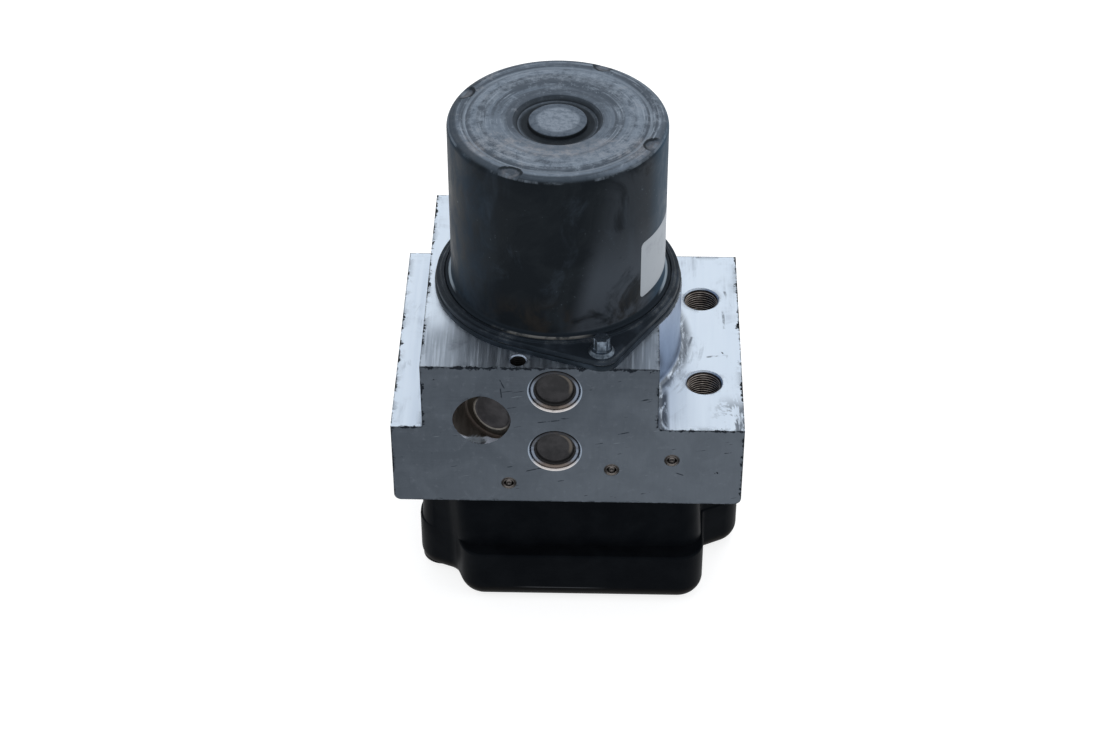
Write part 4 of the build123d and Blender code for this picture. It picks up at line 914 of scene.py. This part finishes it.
# the foot's flange, paler at both sides, with a painted reflection as a pale line at the front
foot_colour = lay_all(
    foot_dark,
    (pale_foot_sides, (maths("ABSOLUTE", across), 33.6, 35.8), (blotches, 0.32, 0.5), (from_axis, 37.3, 37.0)),
    (foot_reflection_line, (from_axis, 37.75, 37.95), (along, -20.0, -30.0), (blotches, 0.36, 0.5),
     (across, -22.0, -17.0), (across, 13.0, 7.0)))
colour = lay_over(colour, foot_colour, (upward, can_base + 1.9, can_base + 1.3))
paint(shader, colour)
wire(between(blotches, 0.3, 0.7, 0.34, 0.56), shader.inputs["Roughness"])
relief = plus(product(fine, 0.5), product(rings, up, 1.2))
relief = plus(relief, product(patches, 0.8))
give_bump(shader, relief, 0.08, 0.6)
can.data.materials.append(charcoal)
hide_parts("motor_can")
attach(can, "unit")


# --- Can label ------------------------------------------------------------------------
# A plain grey foil label with rounded corners, wrapped round the right of the can.

label_low, label_high = (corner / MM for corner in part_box("can_label"))
label_radius = can_radius + 0.03
label_thickness = 0.1
label_start, label_end = -40.0, 32.0
label_corner = 1.6

shape = bmesh.new()
label_length = math.radians(label_end - label_start) * label_radius
label_height = label_high.z - label_low.z
bmesh.ops.create_grid(shape, x_segments=1, y_segments=1, size=0.5)
bmesh.ops.scale(shape, vec=(label_length, label_height, 1), verts=shape.verts)
bmesh.ops.bevel(shape, geom=list(shape.verts), offset=label_corner, affect="VERTICES",
                segments=6, profile=0.5, material=-1)
for step in range(1, 60):
    cut = -label_length / 2 + label_length * step / 60
    everything = shape.verts[:] + shape.edges[:] + shape.faces[:]
    bmesh.ops.bisect_plane(shape, geom=everything, plane_co=(cut, 0, 0), plane_no=(1, 0, 0))
middle = math.radians((label_start + label_end) / 2)
for vertex in shape.verts:
    angle = middle + vertex.co.x / label_radius
    height = (label_low.z + label_high.z) / 2 + vertex.co.y
    vertex.co = Vector((math.cos(angle) * label_radius, math.sin(angle) * label_radius, height)) * MM
bmesh.ops.recalc_face_normals(shape, faces=shape.faces)
label = as_piece(shape, "foil_label")
sheet = label.modifiers.new("foil", "SOLIDIFY")
sheet.thickness = label_thickness * MM
sheet.offset = 1.0
smooth_faces(label, 40.0)

foil, shader, place = start_material("label_foil", roughness=0.6, specular=0.3)
grain = noise_value(place, 1400.0, 2.0, 0.55)
dirt = noise_value(place, 160.0, 5.0, 0.65)
colour = lay_over((0.33, 0.355, 0.385), (0.26, 0.28, 0.31), (dirt, 0.5, 0.8))
paint(shader, colour)
give_bump(shader, grain, 0.01, 0.3)
label.data.materials.append(foil)
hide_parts("can_label")
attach(label, "unit")


# --- End plate and gasket -------------------------------------------------------------
# The stamped steel plate that closes the motor, on a moulded rubber gasket that seals
# it to the block. Both follow the same round outline with two bolt lobes.

satin_black, shader, place = start_material("satin_black_steel", 0.38, specular=0.14, gloss=cool_gloss)
dust = noise_value(place, 120.0, 6.0, 0.65)
worn = use_group(edge_nicks, place, Reach=0.0006, Scale=120.0, Cover=0.47)
colour = lay_over((0.01, 0.013, 0.0175), (0.028, 0.036, 0.048), (dust, 0.45, 0.75))
# edges painted lighter: rubbed paint and painted highlights along the ridges
rubbed_and_highlit = product(worn["Edge"], (dust, 0.48, 0.62))
colour = lay_over(colour, (0.26, 0.26, 0.25), rubbed_and_highlit, 0.7)
paint(shader, colour)
wire(between(dust, 0.3, 0.7, 0.36, 0.55), shader.inputs["Roughness"])
give_bump(shader, dust, 0.05, 0.4)

plate = merged_copy("motor_end_plate", "stamped_plate", bevel=0.3)
plate.data.materials.append(satin_black)

rubber, shader, place = start_material("gasket_rubber", 0.45, specular=0.14, gloss=cool_gloss)
dust = noise_value(place, 150.0, 6.0, 0.65)
colour = lay_over((0.008, 0.011, 0.015), (0.026, 0.034, 0.046), (dust, 0.4, 0.75))
paint(shader, colour)
give_bump(shader, dust, 0.06, 0.4)
gasket = merged_copy("motor_gasket", "moulded_gasket")
gasket.data.materials.append(rubber)


# --- Motor bolts ----------------------------------------------------------------------
# Two zinc-plated flange bolts with six-lobed heads hold the motor to the block.

zinc, shader, place = start_material("zinc_plate", roughness=0.33, metallic=1.0)
mottle = noise_value(place, 420.0, 5.0, 0.65)
colour = lay_over((0.17, 0.21, 0.26), (0.05, 0.065, 0.083), (mottle, 0.35, 0.7))
paint(shader, colour)
wire(between(mottle, 0.3, 0.7, 0.28, 0.5), shader.inputs["Roughness"])
give_bump(shader, mottle, 0.03, 0.4)
for end in ("front", "rear"):
    bolt = merged_copy("motor_bolt_" + end, "lobed_bolt_" + end, bevel=0.22, sharp=25.0)
    bolt.data.materials.append(zinc)


# --- Finishes of the other pieces -----------------------------------------------------
# The control unit's moulded housing and the lid welded under it are black plastic. The
# pieces inside are bare metal, carbon, rubber and resin, each a colour pair with a grain.

def plain_finish(name, dark, light, roughness, metallic, scale):
    """A clouded pair of colours with a fine grain."""
    material, shader, place = start_material(name, roughness, metallic)
    cloud = noise_value(place, scale, 5.0)
    grain = noise_value(place, scale * 8.0, 3.0)
    paint(shader, lay_over(dark, light, (cloud, 0.35, 0.68)))
    wire(between(cloud, 0.3, 0.7, roughness * 0.85, roughness * 1.15), shader.inputs["Roughness"])
    give_bump(shader, grain, 0.02, 0.5)
    return material


black_plastic, shader, place = start_material("black_housing", 0.4, specular=0.018, gloss=(0.6, 0.8, 1.0))
across, along, upward = part_axes(place)
cloud = noise_value(place, 120.0)
housing_black = (0.0027, 0.0032, 0.0042)
housing_grey = (0.0042, 0.0049, 0.0061)
lid_floor_reflection = (0.0075, 0.0066, 0.0058)
underside_reflection = (0.013, 0.012, 0.011)
seam_highlight = (0.06, 0.062, 0.066)
seam_height = 6.6
from_seam = apart(upward, seam_height)
# black plastic in cloudy tones; its lower part and downward faces painted lighter and brown as a
# reflection of the floor, and a painted highlight along the lid's seam at the front
paint(shader, lay_all(
    housing_black,
    (housing_grey, (cloud, 0.35, 0.68)),
    (lid_floor_reflection, (upward, 7.2, 5.0), 0.8),
    (underside_reflection, facing(place, 2, -1, 0.1, 0.6)),
    (seam_highlight, (from_seam, 0.3, 0.1), (across, -16.0, -6.0), (across, 20.0, 8.0),
     (along, -20.0, -25.0), 0.8)))
give_bump(shader, noise_value(place, 1500.0, 3.0), 0.015, 0.5)

finishes = {"ecu_plastic": black_plastic, "zinc_steel": zinc}
for slot, name, dark, light, roughness, metallic, scale in (
    ("plug_steel", "plug_steel", (0.03, 0.028, 0.027), (0.055, 0.05, 0.047), 0.5, 0.6, 260.0),
    ("sleeve_steel", "sleeve_steel", (0.16, 0.145, 0.135), (0.3, 0.28, 0.27), 0.4, 1.0, 500.0),
    ("hard_steel", "ground_steel", (0.38, 0.39, 0.41), (0.56, 0.57, 0.6), 0.25, 1.0, 300.0),
    ("ferrite", "ferrite", (0.02, 0.02, 0.022), (0.05, 0.05, 0.055), 0.7, 0.0, 300.0),
    ("lamination", "laminated_steel", (0.09, 0.095, 0.1), (0.2, 0.21, 0.22), 0.5, 0.9, 500.0),
    ("copper", "enamelled_copper", (0.36, 0.12, 0.05), (0.58, 0.24, 0.11), 0.35, 0.9, 900.0),
    ("carbon", "brush_carbon", (0.012, 0.012, 0.012), (0.03, 0.03, 0.032), 0.6, 0.0, 600.0),
    ("brown_plastic", "moulded_resin", (0.03, 0.015, 0.009), (0.06, 0.032, 0.02), 0.5, 0.0, 500.0),
    ("spring_steel", "spring_wire", (0.28, 0.29, 0.3), (0.45, 0.46, 0.48), 0.3, 1.0, 900.0),
    ("piston_aluminium", "anodised_piston", (0.42, 0.44, 0.46), (0.55, 0.57, 0.6), 0.35, 1.0, 400.0),
    ("seal_rubber", "seal_rubber", (0.012, 0.012, 0.013), (0.03, 0.03, 0.032), 0.65, 0.0, 500.0),
    ("board", "circuit_board", (0.006, 0.045, 0.02), (0.012, 0.08, 0.035), 0.4, 0.0, 300.0),
    ("tin", "tinned_contact", (0.5, 0.49, 0.46), (0.66, 0.65, 0.62), 0.28, 1.0, 800.0),
):
    finishes[slot] = plain_finish(name, dark, light, roughness, metallic, scale)

housing = merged_copy("ecu_housing", "moulded_housing", bevel=0.35)
housing.data.materials.append(finishes["ecu_plastic"])
lid_piece = merged_copy("ecu_lid", "welded_lid", bevel=0.25)
lid_piece.data.materials.append(finishes["ecu_plastic"])

slot_of_node = {entry["node"]: entry["material_slot"] for entry in frame["record"]["subparts"]}
for node, piece in frame["nodes"].items():
    finish = finishes.get(slot_of_node[node])
    if finish is None or not piece.data:
        continue
    piece.data.materials.clear()
    piece.data.materials.append(finish)


# --- Studio ---------------------------------------------------------------------------
# A white floor and backdrop, level lamps, and the camera above the plug face.

shape = bmesh.new()
bmesh.ops.create_grid(shape, x_segments=1, y_segments=1, size=3.0)
bmesh.ops.translate(shape, vec=(0, 0, cad_box[0][2] - 0.0002), verts=shape.verts)
floor = as_piece(shape, "floor")


def split_by_ray(lighting, seen, output):
    """One shader lights the part; the other is seen directly, in gloss or through glass."""
    rays = new_node(seen, "ShaderNodeLightPath").outputs
    is_seen = largest(rays["Is Camera Ray"], rays["Is Glossy Ray"])
    choose = new_node(seen, "ShaderNodeMixShader")
    wire(largest(is_seen, rays["Is Transmission Ray"]), choose.inputs["Fac"])
    wire(lighting.outputs[0], choose.inputs[1])
    wire(seen.outputs[0], choose.inputs[2])
    wire(choose.outputs[0], seen.id_data.nodes[output].inputs["Surface"])


paper = bpy.data.materials.new("white_floor")
paper.use_nodes = True
tree = paper.node_tree
shader = tree.nodes["Principled BSDF"]
set_inputs(shader, {"Base Color": (0.8, 0.8, 0.8, 1), "Roughness": 0.9, "Specular IOR Level": 0.0})
glow = tree.nodes.new("ShaderNodeEmission")
set_inputs(glow, {"Strength": 0.78})
matt = tree.nodes.new("ShaderNodeBsdfDiffuse")
set_inputs(matt, {"Color": (0.36, 0.36, 0.36, 1)})
shaded = tree.nodes.new("ShaderNodeAddShader")
wire(glow.outputs[0], shaded.inputs[0])
wire(matt.outputs[0], shaded.inputs[1])
split_by_ray(shader, shaded, "Material Output")
floor.data.materials.append(paper)

world = bpy.data.worlds.new("studio")
scene.world = world
world.use_nodes = True
tree = world.node_tree
ground = tree.nodes["Background"]
set_inputs(ground, {"Color": (0.92, 0.96, 1.0, 1), "Strength": 0.75})
white = tree.nodes.new("ShaderNodeBackground")
set_inputs(white, {"Color": (1, 1, 1, 1)})
split_by_ray(ground, white, "World Output")


def soft_lamp(name, place, size, power):
    lamp = bpy.data.lights.new(name, "AREA")
    lamp.shape = "SQUARE"
    lamp.size = size
    lamp.energy = power
    holder = bpy.data.objects.new(name, lamp)
    holder.location = place
    holder.visible_glossy = False
    holder.rotation_euler = (Vector((0, 0, 0.09)) - Vector(place)).to_track_quat("-Z", "Y").to_euler()
    scene.collection.objects.link(holder)


soft_lamp("overhead", (0.1, 0.45, 1.3), 0.9, 9.0)
soft_lamp("left_fill", (-1.0, -0.5, 0.7), 0.8, 3.0)
soft_lamp("right_fill", (1.0, -0.3, 0.7), 0.8, 3.0)

camera_place = (15.707 * MM, -672.247 * MM, 620.545 * MM)
camera_yaw = 1.5805
camera_elevation = 39.4367
camera_roll = -0.2217
camera_lens = 81.25
sensor_width = 36.0

lens = bpy.data.cameras.new("camera")
lens.lens = camera_lens
lens.sensor_width = sensor_width
lens.clip_start = 0.01
camera = bpy.data.objects.new("camera", lens)
turned = Matrix.Rotation(math.radians(camera_yaw), 4, "Z")
tipped = Matrix.Rotation(math.radians(90.0 - camera_elevation), 4, "X")
rolled = Matrix.Rotation(math.radians(camera_roll), 4, "Z")
camera.matrix_world = Matrix.Translation(camera_place) @ turned @ tipped @ rolled
scene.collection.objects.link(camera)
scene.camera = camera

scene.view_settings.view_transform = "Standard"
